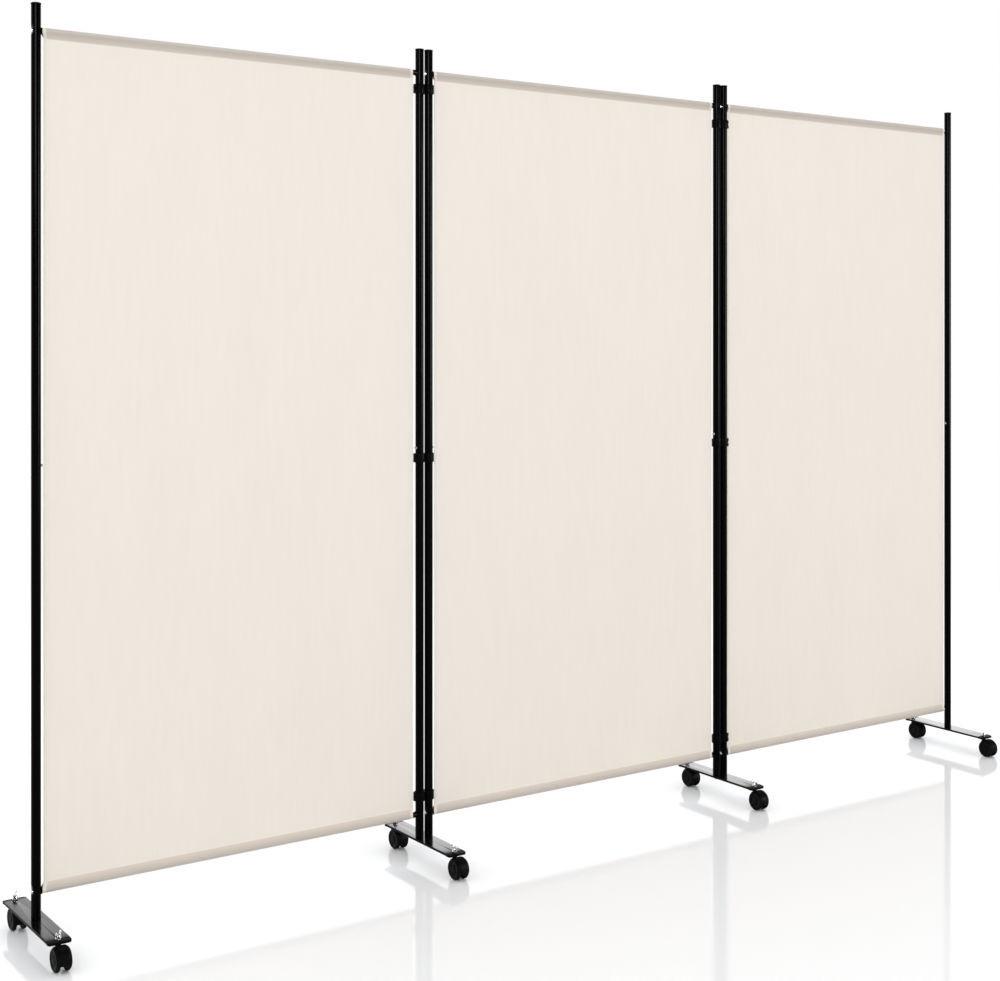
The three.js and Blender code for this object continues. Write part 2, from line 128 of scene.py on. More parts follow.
class CrossbarSizes(bpy.types.PropertyGroup):
    """Sizes of the crossbars, their saddles and screws."""

    radius: length("Radius", "Outer radius of a crossbar", 6)
    saddle_height: length("Saddle height", "Height of a saddle", 12)
    saddle_depth: length("Saddle depth", "Depth of a saddle from front to back", 12.5)
    saddle_end: length("Saddle end", "Reach of a saddle from the post's axis", 10.5)
    saddle_start: length("Saddle start", "Start of a saddle from the post's axis", 7.8)
    screw_radius: length("Screw radius", "Radius of a screw's head", 3.9)
    screw_height: length("Screw height", "Height of a screw's head", 1.9)
    socket: length("Socket", "Half the width of the screw's hexagon socket", 1.7)


class ClothSizes(bpy.types.PropertyGroup):
    """Sizes of the cloth panels."""

    thickness: length("Thickness", "Thickness of the cloth", 0.5)
    sleeve_radius: length("Sleeve radius", "Radius of a sleeve round its crossbar", 6.75)
    sleeve_depth: length("Sleeve depth", "Depth of a sleeve from its end to its seam", 20)
    hem: length("Hem", "Width of a side hem", 7)
    slip: length("Slip", "How far the sleeves sit to the left on their bars", 3.2)
    slack: length("Slack", "How much of the cloth is missing at its right edge", 2.5)
    wave: length("Wave", "Depth of the faint upright waves in the cloth", 1.1)
    stitch: length("Stitch", "Length of one stitch", 2.6)
    stitch_pitch: length("Stitch pitch", "Distance from stitch to stitch", 4)
    thread: length("Thread", "Half the thickness of the thread", 0.28)


class RingSizes(bpy.types.PropertyGroup):
    """Sizes of the double rings of the hinges."""

    bore: length("Bore", "Radius of a bore for a post", 9.85)
    wall: length("Wall", "Wall of a ring", 2.2)
    web: length("Web", "Depth of the web between the two rings", 9)
    lug_reach: length("Lug reach", "Reach of the lug from its post's axis", 13.4)
    lug_width: length("Lug width", "Width of the lug", 11)
    groove_height: length("Groove height", "Height of the groove across the lug", 5.5)
    groove_depth: length("Groove depth", "Depth of the groove in the lug", 3.5)


class FootSizes(bpy.types.PropertyGroup):
    """Sizes of the foot plates."""

    width: length("Width", "Width of a plate", 46)
    length: length("Length", "Length of a plate", 274)
    thickness: length("Thickness", "Thickness of a plate", 5)
    corner: length("Corner", "Radius of a plate's corners", 6.5)
    edge: length("Edge", "Radius of a plate's long edges", 0.9)
    lip: length("Lip", "Length of the turned down end", 17)
    droop: length("Droop", "Drop of the turned down end", 1.6)
    stem_from_end: length("Stem place", "Distance of a caster's stem from the plate's end", 12)


class CasterSizes(bpy.types.PropertyGroup):
    """Sizes of the twin wheel casters and their wing nuts."""

    radius: length("Wheel radius", "Radius of a wheel", 22.5)
    inner: length("Inner face", "Distance of a wheel's inner face from the caster's middle", 7.4)
    outer: length("Outer face", "Distance of a wheel's outer face from the caster's middle", 15)
    shoulder: length("Shoulder", "Radius of a wheel's shoulder", 2.8)
    hub: length("Hub", "Radius of the cap over the hub", 9.5)
    trail: length("Trail", "Distance of the axle behind the stem", 15)
    hood_radius: length("Hood radius", "Outer radius of the hood", 24)
    hood_wall: length("Hood wall", "Wall of the hood", 1)
    hood_width: length("Hood width", "Width of the hood over the wheels", 21)
    taper_top: length("Taper top", "Height where the hood starts to narrow", 36)
    taper_bottom: length("Taper bottom", "Height where the hood is as narrow as the web", 13)
    web_radius: length("Web radius", "Radius of the web round the axle", 14.5)
    web_half: length("Web", "Half the thickness of the web", 5.5)
    socket_radius: length("Socket radius", "Radius of the stem's socket", 5.4)
    neck_radius: length("Neck radius", "Radius of the collar under the plate", 5.3)
    stem_radius: length("Stem radius", "Radius of the threaded stem", 4)
    thread_pitch: length("Thread pitch", "Pitch of the stem's thread", 1.25)
    nut_base: length("Nut foot", "Radius of the wing nut's foot", 5.9)
    nut_top: length("Nut top", "Radius of the wing nut's top", 4.7)
    nut_height: length("Nut height", "Height of the wing nut's hub", 7)
    wing_span: length("Wing span", "Distance between the tips of the wings", 22)
    wing_height: length("Wing height", "Height of the wings' tips over the plate", 14.5)
    wing_thickness: length("Wing thickness", "Thickness of a wing", 2.3)


class Finishes(bpy.types.PropertyGroup):
    """Colours of the finishes."""

    tube: tint("Tube paint", "Gloss black paint of the tubes", (0.0005, 0.0005, 0.0007))
    plate: tint("Plate paint", "High gloss black of the foot plates", (0.0015, 0.0015, 0.002))
    plastic: tint("Plastic", "Satin black plastic", (0.0012, 0.0012, 0.0014))
    hood: tint("Hood plastic", "Charcoal plastic of the caster hoods", (0.0018, 0.0018, 0.002))
    wheel: tint("Wheel plastic", "Charcoal plastic of the wheels", (0.0022, 0.0022, 0.0025))
    steel: tint("Steel", "Bright plated steel", (0.80, 0.79, 0.77))
    cloth: tint("Cloth", "Cream cloth", (0.86, 0.795, 0.715))
    # painted shade: the cloth where it lies double, painted darker for the light from behind that
    # shines through single cloth but not through two layers
    double: tint("Double cloth", "Cream cloth where it lies double", (0.70, 0.61, 0.525))
    # painted shade: the cloth round a black bar, painted darker still for the light from behind that
    # the bar holds back
    sleeve: tint("Sleeve", "Cream cloth round a black bar", (0.545, 0.49, 0.435))
    floor: tint("Floor", "Pale floor", (0.845, 0.86, 0.88))


class StageSettings(bpy.types.PropertyGroup):
    """Where the camera stands and how strong the lamps are."""

    camera_place: FloatVectorProperty(
        name="Camera place", description="Where the camera stands, from the line of the posts",
        default=(-2.3012, -2.9911, 1.1638), size=3, unit="LENGTH",
    )
    camera_turn: FloatProperty(
        name="Camera turn", description="Turn of the camera from straight ahead",
        default=-math.radians(34.621), unit="ROTATION",
    )
    lens: number("Lens", "Focal length of the lens in mm", 57.142)
    shift: number("Shift", "Rise of the lens", -0.1543)
    key: number("Key lamp", "Power of the key lamp", 60)
    front: number("Front gleam", "Power of the gleam at the front", 200)
    side: number("Side gleam", "Power of the gleam at the right", 210)
    back: number("Back gleam", "Power of the gleam behind the screen", 46)
    sky: number("Sky", "Strength of the even light from all round", 1.245)
    lift: number("Lift", "How much the floor is lifted to white", 0.01)


GROUPS = {
    "screen_posts": PostSizes,
    "screen_crossbars": CrossbarSizes,
    "screen_cloth": ClothSizes,
    "screen_rings": RingSizes,
    "screen_feet": FootSizes,
    "screen_casters": CasterSizes,
    "screen_finishes": Finishes,
    "screen_stage": StageSettings,
}


# Mesh tools


def rounded(corners, steps):
    """An outline whose corners are turned into arcs. Each corner holds its place and its radius."""
    points = [Vector(corner[:2]) for corner in corners]
    result = []
    for i, corner in enumerate(points):
        r = corners[i][2]
        if r <= 0:
            result.append(corner)
            continue
        back, ahead = points[i - 1] - corner, points[(i + 1) % len(points)] - corner
        half = back.angle(ahead) / 2
        if math.pi / 2 - half < STRAIGHT:
            result.append(corner)
            continue
        reach = min(r / math.tan(half), EDGE_SHARE * back.length, EDGE_SHARE * ahead.length)
        r = reach * math.tan(half)
        back.normalize()
        ahead.normalize()
        centre = corner + (back + ahead).normalized() * (r / math.sin(half))
        first, last = corner + back * reach - centre, corner + ahead * reach - centre
        start = math.atan2(first.y, first.x)
        turn = (math.atan2(last.y, last.x) - start + math.pi) % math.tau - math.pi
        for step in range(steps + 1):
            angle = start + turn * step / steps
            result.append(centre + Vector((math.cos(angle), math.sin(angle))) * r)
    return result


def arc(centre, radius, start, end, steps):
    """Points along an arc from the start angle to the end angle, in degrees."""
    points = []
    for i in range(steps + 1):
        angle = math.radians(start + (end - start) * i / steps)
        points.append(Vector((
            centre[0] + radius * math.cos(angle), centre[1] + radius * math.sin(angle)
        )))
    return points


def circle(centre, radius, count):
    """Points all round a circle."""
    return arc(centre, radius, 0, 360 - 360 / count, count - 1)


def turned(profile, sides=48, radius_at=None, closed=False):
    """A solid turned about Z from points of radius and height, and hollow if they close an outline.
    radius_at can change a ring's radius by its index and angle."""
    bm = bmesh.new()
    rings = []
    for index, (radius, height) in enumerate(profile):
        if radius < ON_AXIS:
            rings.append([bm.verts.new((0, 0, height))])
            continue
        ring = []
        for side in range(sides):
            angle = math.tau * side / sides
            r = radius_at(index, angle, radius) if radius_at else radius
            ring.append(bm.verts.new((r * math.cos(angle), r * math.sin(angle), height)))
        rings.append(ring)
    if closed:
        rings.append(rings[0])
    for low, high in zip(rings, rings[1:]):
        for side in range(sides):
            after = (side + 1) % sides
            if len(low) == 1 and len(high) == 1:
                continue
            if len(low) == 1:
                bm.faces.new((low[0], high[after], high[side]))
            elif len(high) == 1:
                bm.faces.new((low[side], low[after], high[0]))
            else:
                bm.faces.new((low[side], low[after], high[after], high[side]))
    bmesh.ops.recalc_face_normals(bm, faces=bm.faces)
    return bm


def rod(radius, low, high, sides, edges=(0, 0), steps=3):
    """A rod about Z, with the rounding of its lower and of its upper end."""
    corners = [(0, low, 0), (radius, low, edges[0]), (radius, high, edges[1]), (0, high, 0)]
    return turned(rounded(corners, steps) if any(edges) else [c[:2] for c in corners], sides)


def drawn(outline, thickness, edge=0.0, edge_steps=2, holes=()):
    """A flat solid from an outline in XY, its middle on Z zero, with rounded edges."""
    curve = bpy.data.curves.new("outline", "CURVE")
    curve.dimensions = "2D"
    curve.fill_mode = "BOTH"
    curve.extrude = thickness / 2 - edge
    curve.bevel_depth = edge
    curve.bevel_resolution = edge_steps
    curve.offset = -edge
    for points in (outline, *holes):
        spline = curve.splines.new("POLY")
        spline.points.add(len(points) - 1)
        for place, point in zip(spline.points, points):
            place.co = (point[0], point[1], 0, 1)
        spline.use_cyclic_u = True
    carrier = bpy.data.objects.new("outline", curve)
    bpy.context.scene.collection.objects.link(carrier)
    mesh = bpy.data.meshes.new_from_object(carrier)
    bpy.data.objects.remove(carrier)
    bpy.data.curves.remove(curve)
    bm = bmesh.new()
    bm.from_mesh(mesh)
    bpy.data.meshes.remove(mesh)
    bmesh.ops.remove_doubles(bm, verts=bm.verts, dist=WELD)
    bmesh.ops.dissolve_degenerate(bm, edges=bm.edges, dist=NO_LENGTH)
    bmesh.ops.recalc_face_normals(bm, faces=bm.faces)
    return bm


def block(size, centre, edge):
    """A box with bevelled edges."""
    bm = bmesh.new()
    shape = Matrix.Translation(centre) @ Matrix.Diagonal((*size, 1))
    bmesh.ops.create_cube(bm, size=1, matrix=shape)
    bmesh.ops.bevel(bm, geom=bm.edges, offset=edge, segments=3, profile=0.5, affect="EDGES")
    return bm


def placed(bm, matrix):
    """The same mesh, moved and turned."""
    bmesh.ops.transform(bm, matrix=matrix, verts=bm.verts)
    return bm


def joined(*parts):
    """Several meshes in one."""
    whole = bmesh.new()
    for part in parts:
        mesh = bpy.data.meshes.new("part")
        part.to_mesh(mesh)
        part.free()
        whole.from_mesh(mesh)
        bpy.data.meshes.remove(mesh)
    return whole


def linked_object(name, bm):
    """An object in the scene that takes over the mesh."""
    mesh = bpy.data.meshes.new(name)
    bm.to_mesh(mesh)
    bm.free()
    obj = bpy.data.objects.new(name, mesh)
    bpy.context.scene.collection.objects.link(obj)
    return obj


def carved(base, tool, operation="DIFFERENCE"):
    """The base with the tool cut away or added."""
    objects = [linked_object("carving", bm) for bm in (base, tool)]
    modifier = objects[0].modifiers.new("carving", "BOOLEAN")
    modifier.object = objects[1]
    modifier.operation = operation
    modifier.solver = "EXACT"
    bpy.context.view_layer.update()
    graph = bpy.context.evaluated_depsgraph_get()
    result = bpy.data.meshes.new_from_object(objects[0].evaluated_get(graph))
    bm = bmesh.new()
    bm.from_mesh(result)
    bpy.data.meshes.remove(result)
    for obj in objects:
        mesh = obj.data
        bpy.data.objects.remove(obj)
        bpy.data.meshes.remove(mesh)
    bmesh.ops.remove_doubles(bm, verts=bm.verts, dist=WELD)
    return bm


def piece(name, bm, look, node, replaces=True, second_look=None):
    """Turns a mesh into a named piece that rides on the body of a CAD node, and may replace it."""
    obj = linked_object(name, bm)
    obj.data.shade_smooth()
    obj.data.set_sharp_from_angle(angle=SHARP)
    for finish_name in filter(None, (look, second_look)):
        obj.data.materials.append(finish(finish_name))
    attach(obj, BODY_OF_NODE[node])
    if replaces:
        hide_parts(node)
    return obj


def middle_of(node):
    """The middle of a CAD node's box."""
    low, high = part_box(node)
    return (low + high) / 2


def post_axis(panel, side):
    """Where a post stands: its upper tube is as wide on both sides of its axis."""
    return middle_of(f"{panel}_panel_{side}_post_upper")


def bar_heights(panel):
    """The heights of a panel's bottom and top crossbar."""
    return [middle_of(f"{panel}_panel_{level}_crossbar").z for level in ("bottom", "top")]


# Finishes


class Nodes:
    """A short way to write a node tree."""

    def __init__(self, tree):
        self.nodes, self.links = tree.nodes, tree.links

    def add(self, kind, inputs=None, **settings):
        """A node with its settings and inputs, which are values or other nodes' outputs."""
        node = self.nodes.new(kind)
        for key, value in settings.items():
            setattr(node, key, value)
        for key, value in (inputs or {}).items():
            if isinstance(value, bpy.types.NodeSocket):
                self.links.new(value, node.inputs[key])
            else:
                node.inputs[key].default_value = value
        return node

    def spread(self, value, low, high, start=0.3, end=0.7):
        """A value from start to end, spread from low to high."""
        return self.add("ShaderNodeMapRange", {
            "Value": value, "From Min": start, "From Max": end, "To Min": low, "To Max": high,
        }).outputs["Result"]

    def combine(self, first, second, operation):
        """Two values added, multiplied or compared."""
        return self.add("ShaderNodeMath", {0: first, 1: second}, operation=operation).outputs[0]


class Paint(Nodes):
    """The nodes of a material, with values for its shader's sockets."""

    def __init__(self, name, colour, **sockets):
        self.material = bpy.data.materials.new(f"{name}_finish")
        self.material.use_nodes = True
        super().__init__(self.material.node_tree)
        self.shader = self.nodes["Principled BSDF"]
        self.shader.inputs["Base Color"].default_value = shade(colour)
        for socket, value in sockets.items():
            self.shader.inputs[socket.replace("_", " ")].default_value = value
        self.place = self.add("ShaderNodeTexCoord").outputs["Object"]

    def noise(self, scale, detail=3.0, stretch=(1, 1, 1)):
        """Noise from 0 to 1 in the piece's own place."""
        place = self.add("ShaderNodeMapping", {"Vector": self.place, "Scale": stretch}).outputs[0]
        noise = self.add("ShaderNodeTexNoise", {"Vector": place, "Scale": scale, "Detail": detail})
        return noise.outputs["Fac"]

    def mix(self, factor, first, second):
        """Two colours mixed by a factor."""
        inputs = {0: factor, 6: first, 7: second}
        return self.add("ShaderNodeMix", inputs, data_type="RGBA").outputs[2]

    def colour(self, socket):
        """Lets a colour drive the shader's base colour."""
        self.links.new(socket, self.shader.inputs["Base Color"])

    def rough(self, socket):
        """Lets a value drive the shader's roughness."""
        self.links.new(socket, self.shader.inputs["Roughness"])

    def bump(self, height, strength, distance):
        """Lets a value raise the surface by up to the distance."""
        inputs = {"Height": height, "Strength": strength, "Distance": distance}
        normal = self.add("ShaderNodeBump", inputs).outputs["Normal"]
        self.links.new(normal, self.shader.inputs["Normal"])


def shade(colour, factor=1.0):
    """A colour with its alpha, made darker or lighter."""
    return (*(min(1.0, c * factor) for c in colour[:3]), 1)


FINE = 0.1 * MM  # the distance of a fine relief

# Each row gives a finish's colour, the two shades of it that its noise mixes, the noise's scale,
# the specular level and the metal, then the scale, detail, low and high of its roughness, and the
# scale, detail, strength and distance of its relief.
PLAIN_FINISHES = {
    # gloss black powder coat with a faint orange peel
    "tube_paint": ("tube", (1, 1.5), 40, 0.035, 0, (160, 2, 0.17, 0.24), (650, 2, 0.12, 2 * FINE)),
    # high gloss black of the foot plates, and duller paint on their cut edges
    "plate_paint": ("plate", (1, 1.6), 30, 0.34, 0, (90, 2, 0.13, 0.18), (300, 2, 0.03, 2 * FINE)),
    "plate_edge": ("plate", (1, 1.8), 60, 0.05, 0, (400, 2, 0.34, 0.48), (900, 2, 0.15, FINE)),
    # satin black moulded plastic, and charcoal plastic with a fine spark grain
    "black_plastic": ("plastic", (1, 1.4), 120, 0.03, 0, (500, 2, 0.36, 0.46), (1800, 3, 0.2, FINE)),
    "hood_plastic": ("hood", (1, 1.35), 160, 0.05, 0, (600, 2, 0.45, 0.58), (2600, 3, 0.3, FINE)),
    # bright plated steel of the wing nuts, stems and crossbar screws
    "bright_steel": ("steel", (1, 0.86), 220, 0.5, 1, (700, 3, 0.08, 0.22), (900, 2, 0.08, FINE)),
    # plain zinc plated steel of the bolts and spring buttons
    "dull_steel": ("steel", (0.5, 0.38), 300, 0.5, 1, (900, 3, 0.3, 0.46), (1200, 2, 0.1, FINE)),
    # cream thread, as light as the cloth or a little darker
    "sewing_thread": ("cloth", (0.85, 1), 900, 0.3, 0, (900, 2, 0.6, 0.6), (2500, 2, 0.4, FINE)),
}


def plain_finish(colours, name):
    """A finish of the table. Its colour, roughness and relief vary a little from place to place."""
    colour, shades, scale, specular, metal, roughness, relief = PLAIN_FINISHES[name]
    first, second = (shade(getattr(colours, colour), factor) for factor in shades)
    paint = Paint(name, first, Specular_IOR_Level=specular, Metallic=metal)
    paint.colour(paint.mix(paint.noise(scale), first, second))
    paint.rough(paint.spread(paint.noise(*roughness[:2]), *roughness[2:]))
    paint.bump(paint.noise(*relief[:2]), *relief[2:])
    return paint.material


def wheel_plastic(colours):
    """Charcoal plastic of the wheels, duller where the tread has run."""
    paint = Paint("wheel_plastic", colours.wheel, Specular_IOR_Level=0.055)
    scuff = paint.noise(260, 5)
    worn = paint.spread(scuff, 0, 1, 0.45, 0.75)
    paint.colour(paint.mix(worn, shade(colours.wheel), shade(colours.wheel, 1.9)))
    paint.rough(paint.spread(scuff, 0.38, 0.62))
    paint.bump(paint.noise(2000, 3), 0.25, FINE)
    return paint.material


def cloth_weave(colours):
    """Cream plain weave. It is painted darker where the cloth lies double over the black bars:
    painted shade for the light from behind that they hold back.
    """
    paint = Paint("cloth_weave", colours.cloth, Roughness=0.85, Specular_IOR_Level=0.15,
                  Sheen_Weight=0.1, Sheen_Roughness=0.5)
    # masks of the painted shade in the sleeves
    layers, bar = (
        paint.add("ShaderNodeAttribute", attribute_name=name).outputs["Fac"]
        for name in ("cloth_layers", "cloth_bar")
    )
    yarn = {"Vector": paint.place, "Scale": 420.0, "Distortion": 0.6, "Detail": 1.0}
    warp, weft = (
        paint.add("ShaderNodeTexWave", yarn, bands_direction=way).outputs["Fac"] for way in "XZ"
    )
    weave = paint.combine(warp, weft, "MULTIPLY")
    slub = paint.noise(90, 4, (1, 1, 0.12))
    bands = paint.noise(9, 2, (1, 1, 0.25))
    tone = paint.combine(paint.spread(slub, 0, 0.55), paint.spread(bands, 0, 0.45), "ADD")
    plain = paint.mix(tone, shade(colours.cloth, 0.98), shade(colours.cloth, 1.012))
    # painted shade: the double cloth, then the bar inside a sleeve, darken the cloth's colour
    cloth_with_double_shade = paint.mix(layers, plain, shade(colours.double))
    cloth_with_painted_shade = paint.mix(bar, cloth_with_double_shade, shade(colours.sleeve))
    shadows = paint.mix(weave, BLACK, cloth_with_painted_shade)
    shadow_strength = 0.06  # how dark the gaps between the yarns are
    paint.colour(paint.mix(1 - shadow_strength, shadows, cloth_with_painted_shade))
    paint.bump(paint.combine(weave, slub, "ADD"), 0.25, 2 * FINE)
    return paint.material


SPECIAL_FINISHES = {"wheel_plastic": wheel_plastic, "cloth_weave": cloth_weave}


def finish(name):
    """The named finish, made when it is first needed."""
    made = bpy.data.materials.get(f"{name}_finish")
    if made:
        return made
    colours = bpy.context.scene.screen_finishes
    if name in SPECIAL_FINISHES:
        return SPECIAL_FINISHES[name](colours)
    return plain_finish(colours, name)


# Posts

RIM = 0.35 * MM  # rounding of a tube's rims
SEAM_GAP = 0.3 * MM  # clearance between the two tubes of a post
DENT_FLAT = 3.5 * MM  # half the length of a dent's flat middle
DENT_MARGIN = 4 * MM  # how far the extra rings of points go past a dent
DENT_RINGS = 28  # steps between those rings
DENT_CROWN = 0.12  # how much of the tube's roundness is left in a dent
DENT_BULGE = 0.05  # how much a dent widens the tube
CAP_FALL = 0.9 * MM  # how much lower an end cap is at its rim than in its middle
COLLAR_FOOT, COLLAR_TOP = 1.1 * MM, 0.7 * MM  # how far a button's collar stands out round it
COLLAR_RISE = 0.35 * MM  # how far the collar stands out of the post
COLLAR_SINK = 0.4 * MM  # how deep it starts in the post
DOME = 1.7 * MM  # rounding of a button's tip
BUTTON_SIDES = 28


def tube(sizes, low, high, levels, neck=0.0, plug=0.0):
    """A post's tube with a ring of points at each level. It may have a neck on its top and a plug
    in its foot."""
    outer, inner = sizes.radius, sizes.radius - sizes.wall
    profile = [(0, low)] if plug else [(inner, low + RIM), (inner, low)]
    profile += [(outer - RIM, low), (outer, low + RIM)]
    profile += [(outer, z) for z in levels]
    profile += [(outer, high - RIM), (outer - RIM, high)]
    if neck:
        radius, top = sizes.neck_radius, high + neck
        profile += [(radius, high), (radius, top - RIM), (radius - RIM, top)]
        profile += [(radius - 2 * RIM, top), (radius - 2 * RIM, high - 2 * RIM)]
    profile += [(inner, high - 2 * RIM)]
    profile += [(inner, z) for z in reversed(levels)]
    if plug:
        profile += [(inner, low + plug), (0, low + plug)]
    return turned(profile, sizes.sides, closed=not plug)


def press_dent(bm, sizes, outward, height):
    """Presses the dent that seats a screw head into the side of a tube."""
    for vert in bm.verts:
        above = vert.co.z - height
        reach = sizes.dent_above if above > 0 else sizes.dent_below
        share = max(0.0, 1 - max(0.0, abs(above) - DENT_FLAT) / reach)
        depth = sizes.dent * share * share * (3 - 2 * share)
        if depth <= 0:
            continue
        across = vert.co.x * outward
        wall = max(0.0, sizes.radius - math.hypot(vert.co.x, vert.co.y))
        limit = sizes.radius - wall - depth
        if across > limit:
            vert.co.x = outward * (limit + DENT_CROWN * (across - limit))
            vert.co.y *= 1 + DENT_BULGE * depth / sizes.dent


def dent_levels(sizes, height):
    """Heights of the rings of points that the dent needs."""
    low, high = height - sizes.dent_below - DENT_MARGIN, height + sizes.dent_above + DENT_MARGIN
    return [low + (high - low) * i / DENT_RINGS for i in range(DENT_RINGS + 1)]


def spring_button(sizes):
    """A spring button with its collar, standing up from the post's axis on Z zero."""
    radius, tip = sizes.button_radius, sizes.radius + sizes.button_reach
    dome = rod(radius, sizes.radius - sizes.wall, tip, BUTTON_SIDES, (0, DOME), steps=6)
    low, high = sizes.radius - COLLAR_SINK, sizes.radius + COLLAR_RISE
    collar = [(0, low, 0), (radius + COLLAR_FOOT, low, 0), (radius + COLLAR_TOP, high, 0.3 * MM),
              (0, high, 0)]
    return joined(dome, turned(rounded(collar, steps=3), BUTTON_SIDES))


class BuildPosts(bpy.types.Operator):
    """Build the tube posts with their end caps and spring buttons"""

    bl_idname = "screen.build_posts"
    bl_label = "Posts"

    def execute(self, context):
        for panel in PANELS:
            bars = bar_heights(panel)
            for side, inward in SIDES.items():
                self.build_post(context.scene.screen_posts, panel, side, inward, *bars)
        return {"FINISHED"}

    def build_post(self, sizes, panel, side, inward, bottom_bar, top_bar):
        name = f"{panel}_panel_{side}_post"
        axis = post_axis(panel, side)
        axis.z = 0
        place = Matrix.Translation(axis)
        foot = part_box(f"{name}_lower")[0].z
        seam, crown = (corner.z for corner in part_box(f"{name}_upper"))
        top = crown - sizes.cap
        upper = tube(sizes, seam, top, dent_levels(sizes, top_bar))
        lower = tube(sizes, foot, seam - SEAM_GAP, dent_levels(sizes, bottom_bar), sizes.neck,
                     sizes.plug)
        for word, bm, bar in (("upper", upper, top_bar), ("lower", lower, bottom_bar)):
            press_dent(bm, sizes, -inward, bar)
            piece(f"{name}_{word}_tube", placed(bm, place), "tube_paint",
                  f"{name}_{word}")
        lip = sizes.radius + sizes.cap_lip
        cap = [(0, top, 0), (lip, top, 0.4 * MM), (lip, crown - CAP_FALL, 2.4 * MM), (0, crown, 0)]
        piece(f"{name}_end_cap", placed(turned(rounded(cap, steps=6)), place), "black_plastic",
              f"{name}_upper", replaces=False)
        turn = Matrix.Rotation(inward * math.pi / 2, 4, "Y")
        at = Matrix.Translation(axis + Vector((0, 0, seam + sizes.button_above_seam)))
        piece(f"{name}_spring_button", placed(spring_button(sizes), at @ turn), "dull_steel",
              f"{name}_upper", replaces=False)


# Crossbars

HUG_GAP = 0.2 * MM  # clearance between a saddle and its post
SADDLE_EDGE = 0.35 * MM  # rounding of a saddle's edges
SADDLE_TIP, SADDLE_BACK = 0.4 * MM, 3.4 * MM  # rounding of its corners at the post and at the bar
BAR_EDGE = 0.5 * MM  # rounding of a crossbar's ends
BAR_OVERLAP = 1.5 * MM  # how far a crossbar reaches into its saddle
SCREW_FOOT = 0.3 * MM  # height of the bevel under a screw's head


def saddle(sizes, post_radius):
    """A saddle that hugs the post at X zero and holds the bar on its other side."""
    half, start, end = sizes.saddle_depth / 2, sizes.saddle_start, sizes.saddle_end
    hug = post_radius + HUG_GAP
    edge = math.degrees(math.acos(start / hug))
    corners = [(start, -half, SADDLE_TIP), (end, -half, SADDLE_BACK), (end, half, SADDLE_BACK),
               (start, half, SADDLE_TIP)]
    outline = [*rounded(corners, steps=6), *arc((0, 0), hug, edge, -edge, steps=16)]
    return drawn(outline, sizes.saddle_height, SADDLE_EDGE)


def socket_screw(sizes):
    """A domed screw head with a hexagon socket, standing on Z zero."""
    r, h, s = sizes.screw_radius, sizes.screw_height, sizes.socket
    profile = [(0, 0), (r * 0.96, 0), (r, SCREW_FOOT)]
    for angle in range(10, 61, 10):
        rise = math.radians(angle)
        profile.append((r * math.cos(rise) ** 0.6, SCREW_FOOT + (h - SCREW_FOOT) * math.sin(rise)))
    first_hex = len(profile)
    profile += [(s, h * 0.97), (s * 0.96, h * 0.9), (s * 0.96, h * 0.4), (0, h * 0.35)]

    def radius_at(index, angle, radius):
        if index < first_hex:
            return radius
        return radius / math.cos((angle % (math.pi / 3)) - math.pi / 6)

    return turned(profile, sides=36, radius_at=radius_at)


class BuildCrossbars(bpy.types.Operator):
    """Build the crossbars with their saddles and screws"""

    bl_idname = "screen.build_crossbars"
    bl_label = "Crossbars"

    def execute(self, context):
        sizes = context.scene.screen_crossbars
        posts = context.scene.screen_posts
        seat = posts.radius - posts.dent
        for panel in PANELS:
            for level in ("top", "bottom"):
                node = f"{panel}_panel_{level}_crossbar"
                middle = middle_of(node)
                half = abs(post_axis(panel, "left").x - middle.x)
                end = half - sizes.saddle_end + BAR_OVERLAP
                bar = rod(sizes.radius, -end, end, 36, (BAR_EDGE, BAR_EDGE))
                bar = placed(bar, Matrix.Translation(middle) @ ALONG_X)
                piece(f"{node}_tube", bar, "tube_paint", node)
                for side, inward in SIDES.items():
                    at = Matrix.Translation((middle.x - inward * half, middle.y, middle.z))
                    face = Matrix.Rotation(0 if inward > 0 else math.pi, 4, "Z")
                    piece(f"{node}_{side}_saddle", placed(saddle(sizes, posts.radius), at @ face),
                          "black_plastic", node, replaces=False)
                    turn = Matrix.Rotation(-inward * math.pi / 2, 4, "Y")
                    sink = Matrix.Translation((-inward * seat, 0, 0))
                    piece(f"{node}_{side}_screw", placed(socket_screw(sizes), at @ sink @ turn),
                          "bright_steel", node, replaces=False)
        return {"FINISHED"}


# Cloth

SLEEVE_STEPS = 20  # steps of a sleeve round its bar
LEAD_STEPS = 5  # steps from a sleeve's seam to its bar
SEAM_STEP = 1.2 * MM  # how quickly the painted shade of a sleeve's double cloth ends at its seam
ROWS, COLUMNS = 56, 96  # steps down and across the single cloth
HEM_STEP = 0.6 * MM  # half the width of the step at a hem's inner edge
HEM_MARGIN = 6 * MM  # where the even columns end, from a hem's inner edge
HEM_SHADE, HEM_BAR_SHADE = 0.3, 0.15  # how much of a sleeve's painted shade its hems take
SEAM_BACK, HEM_BACK = 1.1, 1.7  # how far a seam and a hem lie behind the face, in thicknesses
SLIP_SPREAD = 0.15  # how much more of its slip a sleeve has at its left end
WAVE_SHIFT = 1.7  # how much the waves of one cloth differ from the next one's
SLOW_WAVE, QUICK_WAVE = 14.0, 37.0  # how closely the waves follow each other
QUICK_SHARE = 0.35  # depth of the quick waves, from that of the slow ones
HEM_LIMIT = 0.1 * MM  # how close to a hem's inner edge a place still counts as single cloth
THREAD_DROP = 0.8 * MM  # how far a sleeve's stitches are from its seam
THREAD_INSET = 2.2 * MM  # how far a hem's stitches are from its inner edge
# how far stitches are from the cloth's middle, in thicknesses, on its face and behind it
FACE_OFF, SEAM_OFF, HEM_OFF = 0.5, 1.6, 2.2


